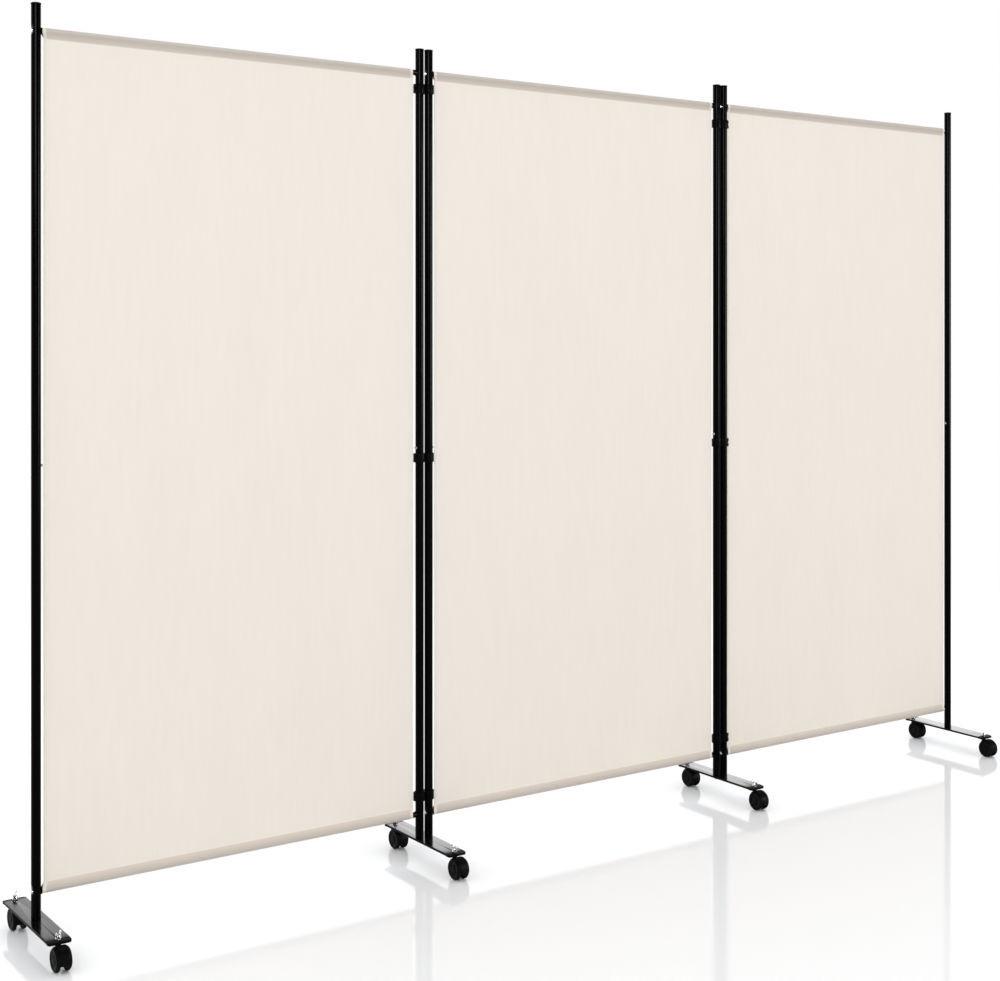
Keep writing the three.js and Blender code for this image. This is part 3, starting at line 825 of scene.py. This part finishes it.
def cloth_path(sizes, low_bar, high_bar):
    """The cloth's line from the seam behind the top bar, over it, down the front and round the
    bottom bar to the seam behind it. Each point has its place in Y and Z, its outward way, whether
    it lies in a sleeve and how close to the bar."""
    radius, gap = sizes.sleeve_radius, sizes.thickness * SEAM_BACK
    drop = sizes.sleeve_depth - radius
    start = math.acos(radius / drop) - math.pi / 2

    def sleeve(centre, way):
        round_bar = []
        for i in range(SLEEVE_STEPS + 1):
            angle = start + (math.pi - 2 * start) * i / SLEEVE_STEPS
            normal = Vector((math.cos(angle), way * math.sin(angle)))
            round_bar.append((Vector((0, centre)) + normal * radius, normal, 1.0, 1.0))
        (first, behind, *_), (last, before, *_) = round_bar[0], round_bar[-1]
        seam, front = Vector((gap, centre - way * drop)), Vector((0, centre - way * drop))
        lead = [(seam.lerp(first, i / LEAD_STEPS), behind, 1.0, i / LEAD_STEPS)
                for i in range(LEAD_STEPS)]
        tail = [(last.lerp(front, i / LEAD_STEPS), before, 1.0, 1 - i / LEAD_STEPS)
                for i in range(1, LEAD_STEPS)]
        return [*lead, *round_bar, *tail]

    high, low = high_bar - drop, low_bar + drop
    flat = Vector((-1, 0))
    single = [high - SEAM_STEP]
    single += [high + (low - high) * (i / ROWS) for i in range(1, ROWS)]
    single += [low + SEAM_STEP]
    return [
        *sleeve(high_bar, 1),
        (Vector((0, high)), flat, 1.0, 0.0),
        *((Vector((0, z)), flat, 0.0, 0.0) for z in single),
        (Vector((0, low)), flat, 1.0, 0.0),
        *reversed(sleeve(low_bar, -1)),
    ]


def cloth_columns(sizes, edge):
    """Places across the cloth, with how far each lies behind its face."""
    fold, back, inner = sizes.thickness, sizes.thickness * HEM_BACK, edge - sizes.hem
    middle = edge - 0.5 * sizes.hem
    hem = [(inner, back), (middle, back), (edge - fold, back), (edge - 0.3 * fold, 0.8 * back),
           (edge, 0.5 * back), (edge - 0.3 * fold, 0.2 * back), (edge - fold, 0.0), (middle, 0.0),
           (inner + HEM_STEP, 0.0), (inner - HEM_STEP, 0.0)]
    reach = inner - HEM_MARGIN
    flat = [(-reach + 2 * reach * i / COLUMNS, 0.0) for i in range(COLUMNS + 1)]
    return [*[(-x, off) for x, off in hem], *flat, *reversed(hem)]


def wave_at(sizes, x, share, seed):
    """The faint upright waves in the cloth, which fade towards the sleeves."""
    fade = math.sin(math.pi * min(1.0, max(0.0, share))) ** 0.7
    drift = 0.35 * math.sin(2.1 * share * math.pi + seed)
    slow = math.sin(SLOW_WAVE * x + 2.3 * seed + drift)
    quick = QUICK_SHARE * math.sin(QUICK_WAVE * x + 1.1 * seed - 1.6 * drift)
    return sizes.wave * fade * (slow + quick)


def placed_across(sizes, x, edge):
    """Where a place across the cloth comes to lie once its right edge is drawn in."""
    return x - sizes.slack * (x + edge) / (2 * edge)


def cloth_sheet(sizes, edge, low_bar, high_bar, seed):
    """One cloth panel about X zero: a single surface with its hems folded behind it."""
    columns = cloth_columns(sizes, edge)
    bm = bmesh.new()
    # masks of the painted shade: how much of the darker double cloth and bar colours each point
    # takes
    layers = bm.verts.layers.float.new("cloth_layers")
    bars = bm.verts.layers.float.new("cloth_bar")
    grid = []
    for point, normal, sleeve, bar in cloth_path(sizes, low_bar, high_bar):
        row = []
        share = (point.y - low_bar) / (high_bar - low_bar)
        for x, behind in columns:
            in_hem = abs(x) >= edge - sizes.hem + HEM_LIMIT
            wave = wave_at(sizes, x, share, seed) if sleeve == 0 else 0.0
            slip = sizes.slip * bar * (1 + SLIP_SPREAD - SLIP_SPREAD * x / edge)
            vert = bm.verts.new((
                placed_across(sizes, x, edge) - slip,
                point.x - normal.x * behind + wave,
                point.y - normal.y * behind,
            ))
            # painted shade in the sleeves, and less of it in the hems
            vert[layers] = sleeve * (HEM_SHADE if in_hem else 1.0)
            vert[bars] = bar * (HEM_BAR_SHADE if in_hem else 1.0)
            row.append(vert)
        grid.append(row)
    for upper, lower in zip(grid, grid[1:]):
        for i in range(len(columns) - 1):
            bm.faces.new((upper[i], lower[i], lower[i + 1], upper[i + 1]))
    return bm


def stitches(sizes, points):
    """Stitches, each from its middle, the way it runs and the way out of the cloth."""
    bm = bmesh.new()
    half = sizes.stitch / 2
    for place, along, out in points:
        side = along.cross(out)
        tips = [bm.verts.new(place + along * reach) for reach in (half, -half)]
        ring = [
            bm.verts.new(place + (side * math.cos(a) + out * math.sin(a)) * sizes.thread)
            for a in (0, math.pi / 2, math.pi, 3 * math.pi / 2)
        ]
        for i in range(4):
            bm.faces.new((tips[0], ring[i], ring[(i + 1) % 4]))
            bm.faces.new((tips[1], ring[(i + 1) % 4], ring[i]))
    bmesh.ops.recalc_face_normals(bm, faces=bm.faces)
    return bm


def stitching(sizes, edge, low_bar, high_bar, seed):
    """Stitches along both sleeve seams and both hems, on the front and on the back."""
    drop = sizes.sleeve_depth - sizes.sleeve_radius
    high, low = high_bar - drop, low_bar + drop
    across, upright = Vector((1, 0, 0)), Vector((0, 0, 1))
    points = []
    count = int(2 * (edge - sizes.hem) / sizes.stitch_pitch)
    for face in (-1, 1):
        off = sizes.thickness * (FACE_OFF if face < 0 else SEAM_OFF)
        for height in (high + THREAD_DROP, low - THREAD_DROP):
            for i in range(count):
                x = placed_across(sizes, (i + 0.5 - count / 2) * sizes.stitch_pitch, edge)
                points.append((Vector((x, face * off, height)), across, Vector((0, face, 0))))
    count = int((high - low) / sizes.stitch_pitch) - 1
    for side in (-1, 1):
        x = placed_across(sizes, side * (edge - sizes.hem + THREAD_INSET), edge)
        for i in range(count):
            z = low + (high - low) * (i + 1) / (count + 1)
            wave = wave_at(sizes, x, (z - low_bar) / (high_bar - low_bar), seed)
            for face in (-1, 1):
                y = face * sizes.thickness * (FACE_OFF if face < 0 else HEM_OFF) + wave
                points.append((Vector((x, y, z)), upright, Vector((0, face, 0))))
    return stitches(sizes, points)


class BuildCloth(bpy.types.Operator):
    """Build the cloth panels with their sleeves, hems and stitching"""

    bl_idname = "screen.build_cloth"
    bl_label = "Cloth"

    def execute(self, context):
        sizes = context.scene.screen_cloth
        for index, panel in enumerate(PANELS):
            node = f"{panel}_panel_cloth"
            low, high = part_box(node)
            middle = (low + high) / 2
            edge = (high.x - low.x) / 2
            bars = bar_heights(panel)
            seed = index * WAVE_SHIFT
            at = Matrix.Translation((middle.x, middle.y, 0))
            sheet = piece(f"{node}_sheet", placed(cloth_sheet(sizes, edge, *bars, seed), at),
                          "cloth_weave", node)
            solid = sheet.modifiers.new("thickness", "SOLIDIFY")
            solid.thickness = sizes.thickness
            solid.offset = 0
            seams = piece(f"{node}_stitches", placed(stitching(sizes, edge, *bars, seed), at),
                          "sewing_thread", node, replaces=False)
            path = cloth_path(sizes, *bars)
        return {"FINISHED"}


# Hinges

RING_EDGE = 0.7 * MM  # rounding of a double ring's edges
LUG_CORNER = 0.9 * MM  # rounding of its lug's corners
GROOVE_EDGE = 0.6 * MM  # rounding of its groove


def double_ring(sizes, pitch, height):
    """A double ring about Z, with its lug on the +X side and a groove in the lug's front corner."""
    outer, half_lug = sizes.bore + sizes.wall, sizes.lug_width / 2
    post, other = pitch / 2, -pitch / 2
    tip = post + sizes.lug_reach
    lug = math.degrees(math.asin(half_lug / outer))
    web = math.degrees(math.asin(sizes.web / 2 / outer))
    corners = [(post, -half_lug, 0), (tip, -half_lug, LUG_CORNER), (tip, half_lug, LUG_CORNER),
               (post, half_lug, 0)]
    outline = rounded(corners, steps=3)[1:-1]
    for centre, start, end, steps in ((post, lug, 180 - web, 20), (other, web, 360 - web, 44),
                                      (post, 180 + web, 360 - lug, 20)):
        outline += arc((centre, 0), outer, start, end, steps)
    bores = [circle((x, 0), sizes.bore, count=48) for x in (post, other)]
    groove = block((2 * sizes.groove_depth, sizes.lug_width, sizes.groove_height),
                   Vector((tip, -half_lug, 0)), GROOVE_EDGE)
    return carved(drawn(outline, height, RING_EDGE, holes=bores), groove)


class BuildRings(bpy.types.Operator):
    """Build the double rings that tie the posts of each hinge"""

    bl_idname = "screen.build_rings"
    bl_label = "Hinge rings"

    def execute(self, context):
        # the left hinge's rings are turned over, so that their groove stays in front
        for hinge, side, turn in (("left", "right", math.pi), ("right", "left", 0.0)):
            post, other = post_axis(hinge, side).x, post_axis("middle", hinge).x
            for level in LEVELS:
                node = f"{hinge}_hinge_{level}_ring"
                low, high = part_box(node)
                middle = Vector(((post + other) / 2, (low.y + high.y) / 2, (low.z + high.z) / 2))
                bm = double_ring(context.scene.screen_rings, abs(post - other), high.z - low.z)
                at = Matrix.Translation(middle) @ Matrix.Rotation(turn, 4, "Y")
                piece(f"{node}_clip", placed(bm, at), "black_plastic", node)
        return {"FINISHED"}


# Feet

POST_GAP = 0.3 * MM  # clearance between a plate and its post
STEM_HOLE = 4.3 * MM  # radius of the hole for a caster's stem
CUT_SHARES = (0.0, 0.12, 0.24, 0.5)  # where the turned down end gets more points, from its start
BEND_SHARE = 0.24  # the part of the turned down end that bends
LIP_SHARE = 0.12  # from here on it has the duller paint
FLAT_UP = 0.8  # a face that looks up less than this is an edge
BOLT_RADIUS, BOLT_HEIGHT = 5.7 * MM, 4 * MM
BOLT_CORNER, BOLT_EDGE, WASHER_EDGE = 0.5 * MM, 0.4 * MM, 0.3 * MM  # their rounding
WASHER = 0.9 * MM  # thickness of a bolt's washer, and how far it stands out


def foot_plate(sizes):
    """A plate about Z, its top on Z zero, with rounded edges and both ends turned down a little.
    Its edges and turned down ends take the second finish."""
    half_width, half_length = sizes.width / 2, sizes.length / 2
    corners = [(x * half_width, y * half_length, sizes.corner)
               for x, y in ((-1, -1), (1, -1), (1, 1), (-1, 1))]
    hole = half_length - sizes.stem_from_end
    holes = [circle((0, y), STEM_HOLE, count=24) for y in (-hole, hole)]
    bm = drawn(rounded(corners, steps=8), sizes.thickness, sizes.edge, 3, holes)
    bend = half_length - sizes.lip
    for share in CUT_SHARES:
        for way in (-1, 1):
            bmesh.ops.bisect_plane(bm, geom=[*bm.verts, *bm.edges, *bm.faces],
                                   plane_co=(0, way * (bend + share * sizes.lip), 0),
                                   plane_no=(0, 1, 0))
    for vert in bm.verts:
        past = (abs(vert.co.y) - bend) / sizes.lip
        if past > 0:
            soft = min(past, BEND_SHARE)
            vert.co.z -= sizes.droop * (past - soft + soft * soft / BEND_SHARE * 0.5)
        vert.co.z -= sizes.thickness / 2
    for face in bm.faces:
        on_lip = abs(face.calc_center_median().y) > bend + LIP_SHARE * sizes.lip
        face.material_index = 1 if on_lip or face.normal.z < FLAT_UP else 0
    return bm


def bolt_head():
    """A hexagon bolt head on a washer, hanging down from Z zero."""
    hexagon = [(*point, BOLT_CORNER) for point in circle((0, 0), BOLT_RADIUS, count=6)]
    head = drawn(rounded(hexagon, steps=3), BOLT_HEIGHT - WASHER, BOLT_EDGE)
    placed(head, Matrix.Translation((0, 0, -(BOLT_HEIGHT + WASHER) / 2)))
    return joined(head, rod(BOLT_RADIUS + WASHER, -WASHER, 0, 36, (WASHER_EDGE, 0)))


class BuildFeet(bpy.types.Operator):
    """Build the foot plates and the bolts under their posts"""

    bl_idname = "screen.build_feet"
    bl_label = "Foot plates"

    def execute(self, context):
        sizes = context.scene.screen_feet
        for foot, posts in FEET.items():
            node = f"{foot}_foot_plate"
            low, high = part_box(node)
            panel, side = posts[0]
            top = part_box(f"{panel}_panel_{side}_post_lower")[0].z - POST_GAP
            at = Matrix.Translation(((low.x + high.x) / 2, (low.y + high.y) / 2, top))
            piece(f"{node}_steel", placed(foot_plate(sizes), at), "plate_paint",
                  node, second_look="plate_edge")
            for panel, side in posts:
                axis = post_axis(panel, side)
                under = Matrix.Translation((axis.x, axis.y, top - sizes.thickness))
                piece(f"{panel}_panel_{side}_post_bolt", placed(bolt_head(), under), "dull_steel",
                      node, replaces=False)
        return {"FINISHED"}


# Casters

HOOD_STEPS, HOOD_ACROSS = 30, 12  # the hood's faces round the wheels and across them
HOOD_START, HOOD_TURN = 45, 152  # in degrees, its start over the stem's side and its way round
SPINE_END = 194  # in degrees, where the web that fills the hood ends
HOOD_FALL = 0.5 * MM  # how much the hood's edges fall off
WEB_EDGE = 0.8 * MM  # rounding of the web round the axle
SOCKET_DEPTH = 7 * MM  # how far the stem's socket goes down below the axle
NECK_BEVEL = 0.6 * MM  # height of the bevel where the socket meets the neck
SOCKET_TOP = 2 * MM  # how far the socket's bevel starts below the top of the wheels
BORE_PAST = 2 * MM  # how far the bore's tool stands out of the neck
STEM_GAP = 0.3 * MM  # clearance round the stem and under it
AXLE_RADIUS, AXLE_HALF = 3.3 * MM, 15 * MM  # the bore that is cut for the axle
SHAFT = 3 * MM  # radius of the axle between the wheels
PLATE_AND_GAPS = 5.3 * MM  # from the posts' feet down to under the foot plate
# from under the foot plate down to the collar on the stem, to its foot and to the housing's neck
UNDER_PLATE = (0.3 * MM, 1.8 * MM, 2.1 * MM)
THREAD_DEPTH = 0.6 * MM  # depth of the thread and of the stem's lower bevel
STEM_TIP = 0.7 * MM  # depth of the bevel at the stem's tip
THREAD_PAST_NUT = 2 * MM  # how far the thread stands out of the wing nut
NUT_FLANGE = 1.6 * MM  # height of the nut's flange
WING_EDGE = 1.1 * MM  # rounding of the wings
WING_SHARES = (  # a wing's outline in shares of its span and height, and each corner's rounding
    (0.1, 0.14, 0), (0.46, 0.13, 2 * MM), (1.0, 0.66, 4 * MM), (0.93, 1.0, 2.2 * MM),
    (0.62, 0.97, 2.2 * MM), (0.34, 0.5, 3.5 * MM), (0.1, 0.5, 0),
)
WING_TURNS = {
    ("left_end", "front"): 44, ("left_end", "back"): 57,
    ("left_hinge", "front"): 80, ("left_hinge", "back"): 50,
    ("right_hinge", "front"): 86, ("right_hinge", "back"): 20,
    ("right_end", "front"): 38, ("right_end", "back"): 20,
}


def twin_wheels(sizes):
    """Both wheels on their axle, about X, centred on the axle."""
    r, inner, outer, hub = sizes.radius, sizes.inner, sizes.outer, sizes.hub
    face = [  # radius, distance from the middle and rounding, from the hub cap to the axle
        (0, outer - 0.2 * MM, 0), (hub * 0.55, outer - 0.25 * MM, 2 * MM),
        (hub, outer - 0.9 * MM, 0.6 * MM), (hub + 0.3 * MM, outer - 2.0 * MM, 0.2 * MM),
        (hub + 1.3 * MM, outer - 2.0 * MM, 0.2 * MM), (hub + 1.7 * MM, outer - 1.1 * MM, 0.3 * MM),
        (r - 5.4 * MM, outer - 0.55 * MM, 0.3 * MM), (r - 4.9 * MM, outer - 0.05 * MM, 0.3 * MM),
        (r - sizes.shoulder, outer - 0.05 * MM, 2.2 * MM),
        (r, outer - sizes.shoulder * 1.15, 2.6 * MM), (r, inner + 0.9 * MM, 0.5 * MM),
        (r - 0.9 * MM, inner, 0.5 * MM), (SHAFT, inner, 0),
    ]
    half = rounded(face, steps=4)
    other = [Vector((p.x, -p.y)) for p in half]
    return placed(turned([*other, *reversed(half)], sides=64), ALONG_X)


def hood_shell(sizes):
    """The hood's band round the wheels, about the axle, narrowing down its front."""
    bm = bmesh.new()
    shells = []
    for radius in (sizes.hood_radius, sizes.hood_radius - sizes.hood_wall):
        rows = []
        for i in range(HOOD_STEPS + 1):
            angle = math.radians(HOOD_START + HOOD_TURN * i / HOOD_STEPS)
            height = sizes.radius + sizes.hood_radius * math.sin(angle)
            share = (height - sizes.taper_bottom) / (sizes.taper_top - sizes.taper_bottom)
            share = 1.0 if math.cos(angle) > 0 else min(1.0, max(0.0, share))
            half = sizes.web_half + (sizes.hood_width / 2 - sizes.web_half) * (share ** 0.85)
            row = []
            for k in range(HOOD_ACROSS + 1):
                x = -1 + 2 * k / HOOD_ACROSS
                reach = radius - HOOD_FALL * abs(x) ** 6
                y, z = reach * math.cos(angle), reach * math.sin(angle)
                row.append(bm.verts.new((half * x, y, z)))
            rows.append(row)
        shells.append(rows)
    outer, inner = shells
    for i in range(HOOD_STEPS):
        for k in range(HOOD_ACROSS):
            bm.faces.new((outer[i][k], outer[i + 1][k], outer[i + 1][k + 1], outer[i][k + 1]))
            bm.faces.new((inner[i][k], inner[i][k + 1], inner[i + 1][k + 1], inner[i + 1][k]))
        for k in (0, HOOD_ACROSS):
            bm.faces.new((outer[i][k], inner[i][k], inner[i + 1][k], outer[i + 1][k]))
    for i in (0, HOOD_STEPS):
        for k in range(HOOD_ACROSS):
            bm.faces.new((outer[i][k], outer[i][k + 1], inner[i][k + 1], inner[i][k]))
    bmesh.ops.recalc_face_normals(bm, faces=bm.faces)
    return bm


def caster_housing(sizes, neck_top, stem_foot):
    """The housing with its hood, web and socket, about the swivel's axis."""
    axle = Matrix.Translation((0, -sizes.trail, sizes.radius))
    side_on = axle @ Matrix(((0, 0, 1, 0), (1, 0, 0, 0), (0, 1, 0, 0), (0, 0, 0, 1)))
    web = drawn(circle((0, 0), sizes.web_radius, count=48), 2 * sizes.web_half, WEB_EDGE)
    reach = sizes.hood_radius - sizes.hood_wall / 2
    fan = arc((0, 0), reach, HOOD_START, SPINE_END, steps=24)
    spine = drawn([Vector((0, 0)), *fan], 2 * sizes.web_half)
    foot, top = sizes.radius - SOCKET_DEPTH, sizes.radius * 2 - SOCKET_TOP
    socket = rounded([
        (0, foot, 0), (sizes.socket_radius, foot, 1 * MM), (sizes.socket_radius, top, 1 * MM),
        (sizes.neck_radius, top + NECK_BEVEL, 0.5 * MM), (sizes.neck_radius, neck_top, 0.5 * MM),
        (0, neck_top, 0),
    ], steps=3)
    bm = placed(hood_shell(sizes), axle)
    for part in (placed(spine, side_on), placed(web, side_on), turned(socket, sides=40)):
        bm = carved(bm, part, "UNION")
    bore = rod(sizes.stem_radius + STEM_GAP, stem_foot - STEM_GAP, neck_top + BORE_PAST, 32)
    bm = carved(bm, bore)
    pin = rod(AXLE_RADIUS, -AXLE_HALF, AXLE_HALF, 32)
    return carved(bm, placed(pin, axle @ ALONG_X))


def threaded_stem(sizes, low, collar_low, collar_high, high):
    """The stem with the turns of its thread and the collar under the plate."""
    r, pitch, core = sizes.stem_radius, sizes.thread_pitch, sizes.stem_radius - THREAD_DEPTH
    profile = [(0, low), (core, low), (r, low + THREAD_DEPTH), (r, collar_low),
               (sizes.neck_radius, collar_low), (sizes.neck_radius, collar_high), (r, collar_high)]
    z = collar_high + pitch
    while z < high - 0.8 * pitch:
        profile += [(r, z), (r, z + 0.15 * pitch), (core, z + 0.5 * pitch), (r, z + 0.85 * pitch)]
        z += pitch
    profile += [(r, high - THREAD_DEPTH), (r - STEM_TIP, high), (0, high)]
    return turned(profile, sides=32)


def wing_nut(sizes, foot):
    """The nut's hub with its two wings in the XZ plane."""
    top = foot + sizes.nut_height
    base, flange = sizes.nut_base, foot + NUT_FLANGE
    hub = [(0, foot, 0), (base, foot, 0.4 * MM), (base, flange, 0.8 * MM),
           (sizes.nut_top, top, 0.9 * MM), (0, top, 0)]
    bm = turned(rounded(hub, steps=4), sides=40)
    corners = [(x * sizes.wing_span / 2, z * sizes.wing_height, corner)
               for x, z, corner in WING_SHARES]
    upright = Matrix.Translation((0, 0, foot)) @ Matrix.Rotation(math.pi / 2, 4, "X")
    for side in (0, math.pi):
        wing = drawn(rounded(corners, steps=6), sizes.wing_thickness, WING_EDGE, 3)
        placed(wing, Matrix.Rotation(side, 4, "Z") @ upright)
        bm = carved(bm, wing, "UNION")
    return bm


class BuildCasters(bpy.types.Operator):
    """Build the casters with their wheels, housings, stems and wing nuts"""

    bl_idname = "screen.build_casters"
    bl_label = "Casters"

    def execute(self, context):
        sizes = context.scene.screen_casters
        stem_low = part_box("left_end_front_caster_stem")[0].z
        plate_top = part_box("left_panel_left_post_lower")[0].z
        under = plate_top - PLATE_AND_GAPS
        collar_top, collar_foot, neck_top = (under - drop for drop in UNDER_PLATE)
        housing = caster_housing(sizes, neck_top, stem_low)
        stem = threaded_stem(sizes, stem_low, collar_foot, collar_top,
                             plate_top + sizes.nut_height + THREAD_PAST_NUT)
        wheels, nut = twin_wheels(sizes), wing_nut(sizes, plate_top)
        for foot in FEET:
            for end in ENDS:
                name = f"{foot}_{end}_caster"
                centre = middle_of(f"{name}_wheels")
                axle = Matrix.Translation(centre)
                at = Matrix.Translation((centre.x, centre.y + sizes.trail, 0))
                turn = Matrix.Rotation(math.radians(WING_TURNS[foot, end]), 4, "Z")
                for node, word, bm, place, look, slot in (
                    ("housing", "shell", housing, at, "hood_plastic", "black_plastic"),
                    ("wheels", "pair", wheels, axle, "wheel_plastic", "wheel_plastic"),
                    ("stem", "thread", stem, at, "bright_steel", "bright_steel"),
                ):
                    piece(f"{name}_{node}_{word}", placed(bm.copy(), place), look,
                          f"{name}_{node}")
                piece(f"{name}_wing_nut", placed(nut.copy(), at @ turn), "bright_steel",
                      f"{name}_stem", replaces=False)
        return {"FINISHED"}


# Stage

FLOOR_RADIUS = 60  # in metres
FLOOR_FADE = (2.2, 4.2)  # from here to here, in metres, the floor turns plain white
WALL_TOP = (0.42, 0.48)  # between these upward looks the white wall of the reflections ends
WALL_SIDE = (-0.1, 0.2)  # between these backward looks it begins
WALL_LIGHT = (0.02, 1.45)  # how light reflections are in front and at the wall
LAMPS = (  # name, the setting of its power, where it stands, what it faces and its size
    ("key_lamp", "key", (-6.1, -6.6, 3.3), (0, 0, 0.9), (1.7, 2.2)),
    ("front_gleam", "front", (-3.9, -5.1, 2.6), (0, 0, 2.6), (3.2, 1.2)),
    ("side_gleam", "side", (2.8, -3.3, 1.45), (0, 0, 1.45), (1.6, 1.3)),
    ("back_gleam", "back", (4.75, 4.5, 1.8), (4.75, 0, 1.8), (6.5, 2.0)),
)


def stage_floor(colour, lift):
    """A wide pale floor that keeps its shadows near the screen and turns plain white far away."""
    floor = linked_object("floor", turned([(0, 0), (FLOOR_RADIUS, 0)], sides=64))
    paint = Paint("floor", colour, Roughness=0.09)
    paint.colour(paint.mix(paint.noise(0.6), shade(colour, 0.995), shade(colour)))
    away = paint.add("ShaderNodeVectorMath", {0: paint.place}, operation="LENGTH").outputs["Value"]
    fade = paint.spread(away, 0, 1, *FLOOR_FADE)
    path = paint.add("ShaderNodeLightPath").outputs
    seen = paint.combine(path["Is Camera Ray"], path["Is Glossy Ray"], "MAXIMUM")
    seen = paint.combine(seen, path["Is Transmission Ray"], "MAXIMUM")
    white, lifted = (
        paint.add("ShaderNodeEmission", {"Color": WHITE, "Strength": strength}).outputs[0]
        for strength in (1.0, paint.combine(seen, lift, "MULTIPLY"))
    )
    near = paint.add("ShaderNodeAddShader", {0: paint.shader.outputs[0], 1: lifted}).outputs[0]
    far = paint.combine(fade, seen, "MULTIPLY")
    mixed = paint.add("ShaderNodeMixShader", {0: far, 1: near, 2: white}).outputs[0]
    paint.links.new(mixed, paint.nodes["Material Output"].inputs["Surface"])
    floor.data.materials.append(paint.material)
    return floor


def even_world(strength):
    """An even light, and white behind the screen. Reflections show a room that is dark in front
    and above."""
    world = bpy.data.worlds.new("studio")
    bpy.context.scene.world = world
    world.use_nodes = True
    tree = Nodes(world.node_tree)
    place = tree.add("ShaderNodeTexCoord").outputs["Generated"]
    split = tree.add("ShaderNodeSeparateXYZ", {0: place}).outputs
    path = tree.add("ShaderNodeLightPath").outputs
    straight = path["Is Camera Ray"]
    glints = tree.combine(path["Is Glossy Ray"], path["Is Transmission Ray"], "MAXIMUM")
    below = tree.spread(split["Z"], 1.0, 0.0, *WALL_TOP)
    behind = tree.spread(split["Y"], *WALL_LIGHT, *WALL_SIDE)
    wall = tree.combine(tree.combine(below, behind, "MULTIPLY"), glints, "MULTIPLY")
    light = tree.nodes["Background"]
    light.inputs["Color"].default_value = WHITE
    light.inputs["Strength"].default_value = strength
    seen = tree.add("ShaderNodeBackground", {
        "Color": WHITE, "Strength": tree.combine(wall, straight, "MAXIMUM"),
    })
    mixed = tree.add("ShaderNodeMixShader", {
        0: tree.combine(straight, glints, "MAXIMUM"), 1: light.outputs[0], 2: seen.outputs[0],
    })
    tree.links.new(mixed.outputs[0], tree.nodes["World Output"].inputs["Surface"])


def soft_lamp(name, place, target, size, power, not_on):
    """A soft lamp that faces a point. A gleam shows only in reflections and lights nothing else.
    The group of objects that it isn't on would mirror it as a bright patch."""
    lamp = bpy.data.lights.new(name, "AREA")
    lamp.shape = "RECTANGLE"
    lamp.size, lamp.size_y = size
    lamp.energy = power
    obj = bpy.data.objects.new(name, lamp)
    bpy.context.scene.collection.objects.link(obj)
    obj.location = place
    obj.rotation_euler = (Vector(target) - Vector(place)).to_track_quat("-Z", "Y").to_euler()
    obj.visible_diffuse = not_on is None
    obj.visible_glossy = not_on is not None
    obj.light_linking.receiver_collection = not_on


class BuildStage(bpy.types.Operator):
    """Build the floor, the lamps and the camera"""

    bl_idname = "screen.build_stage"
    bl_label = "Stage"

    def execute(self, context):
        scene = context.scene
        settings = scene.screen_stage
        scene.view_settings.view_transform = "Standard"
        ground = bpy.data.collections.new("ground")
        ground.objects.link(stage_floor(scene.screen_finishes.floor, settings.lift))
        ground.collection_objects[0].light_linking.link_state = "EXCLUDE"
        even_world(settings.sky)
        for name, power, place, target, size in LAMPS:
            soft_lamp(name, place, target, size, getattr(settings, power),
                      ground if name.endswith("gleam") else None)
        camera = bpy.data.cameras.new("camera")
        camera.lens = settings.lens
        camera.sensor_width = 36
        camera.shift_y = settings.shift
        camera.clip_start, camera.clip_end = 0.05, 200
        obj = bpy.data.objects.new("camera", camera)
        scene.collection.objects.link(obj)
        obj.location = Vector(settings.camera_place) + Vector((0, post_axis("middle", "left").y, 0))
        obj.rotation_euler = (math.pi / 2, 0, settings.camera_turn)
        scene.camera = obj
        return {"FINISHED"}


class ScreenPanel(bpy.types.Panel):
    """The screen's pieces in the sidebar"""

    bl_idname = "VIEW3D_PT_screen"
    bl_label = "Privacy screen"
    bl_space_type = "VIEW_3D"
    bl_region_type = "UI"
    bl_category = "Screen"

    def draw(self, context):
        for operator in OPERATORS:
            self.layout.operator(operator.bl_idname)
        for name, group in GROUPS.items():
            box = self.layout.box()
            for key in group.__annotations__:
                box.prop(getattr(context.scene, name), key)


OPERATORS = (
    BuildPosts, BuildCrossbars, BuildCloth, BuildRings, BuildFeet, BuildCasters, BuildStage,
)


def register():
    for group in GROUPS.values():
        bpy.utils.register_class(group)
    for name, group in GROUPS.items():
        setattr(bpy.types.Scene, name, PointerProperty(type=group))
    for operator in OPERATORS:
        bpy.utils.register_class(operator)
    bpy.utils.register_class(ScreenPanel)


def unregister():
    bpy.utils.unregister_class(ScreenPanel)
    for operator in reversed(OPERATORS):
        bpy.utils.unregister_class(operator)
    for name, group in GROUPS.items():
        delattr(bpy.types.Scene, name)
        bpy.utils.unregister_class(group)


def main():
    register()
    bpy.ops.screen.build_stage()
    bpy.ops.screen.build_posts()
    bpy.ops.screen.build_crossbars()
    bpy.ops.screen.build_cloth()
    bpy.ops.screen.build_rings()
    bpy.ops.screen.build_feet()
    bpy.ops.screen.build_casters()
    bpy.context.view_layer.update()


if __name__ == "__main__":
    main()
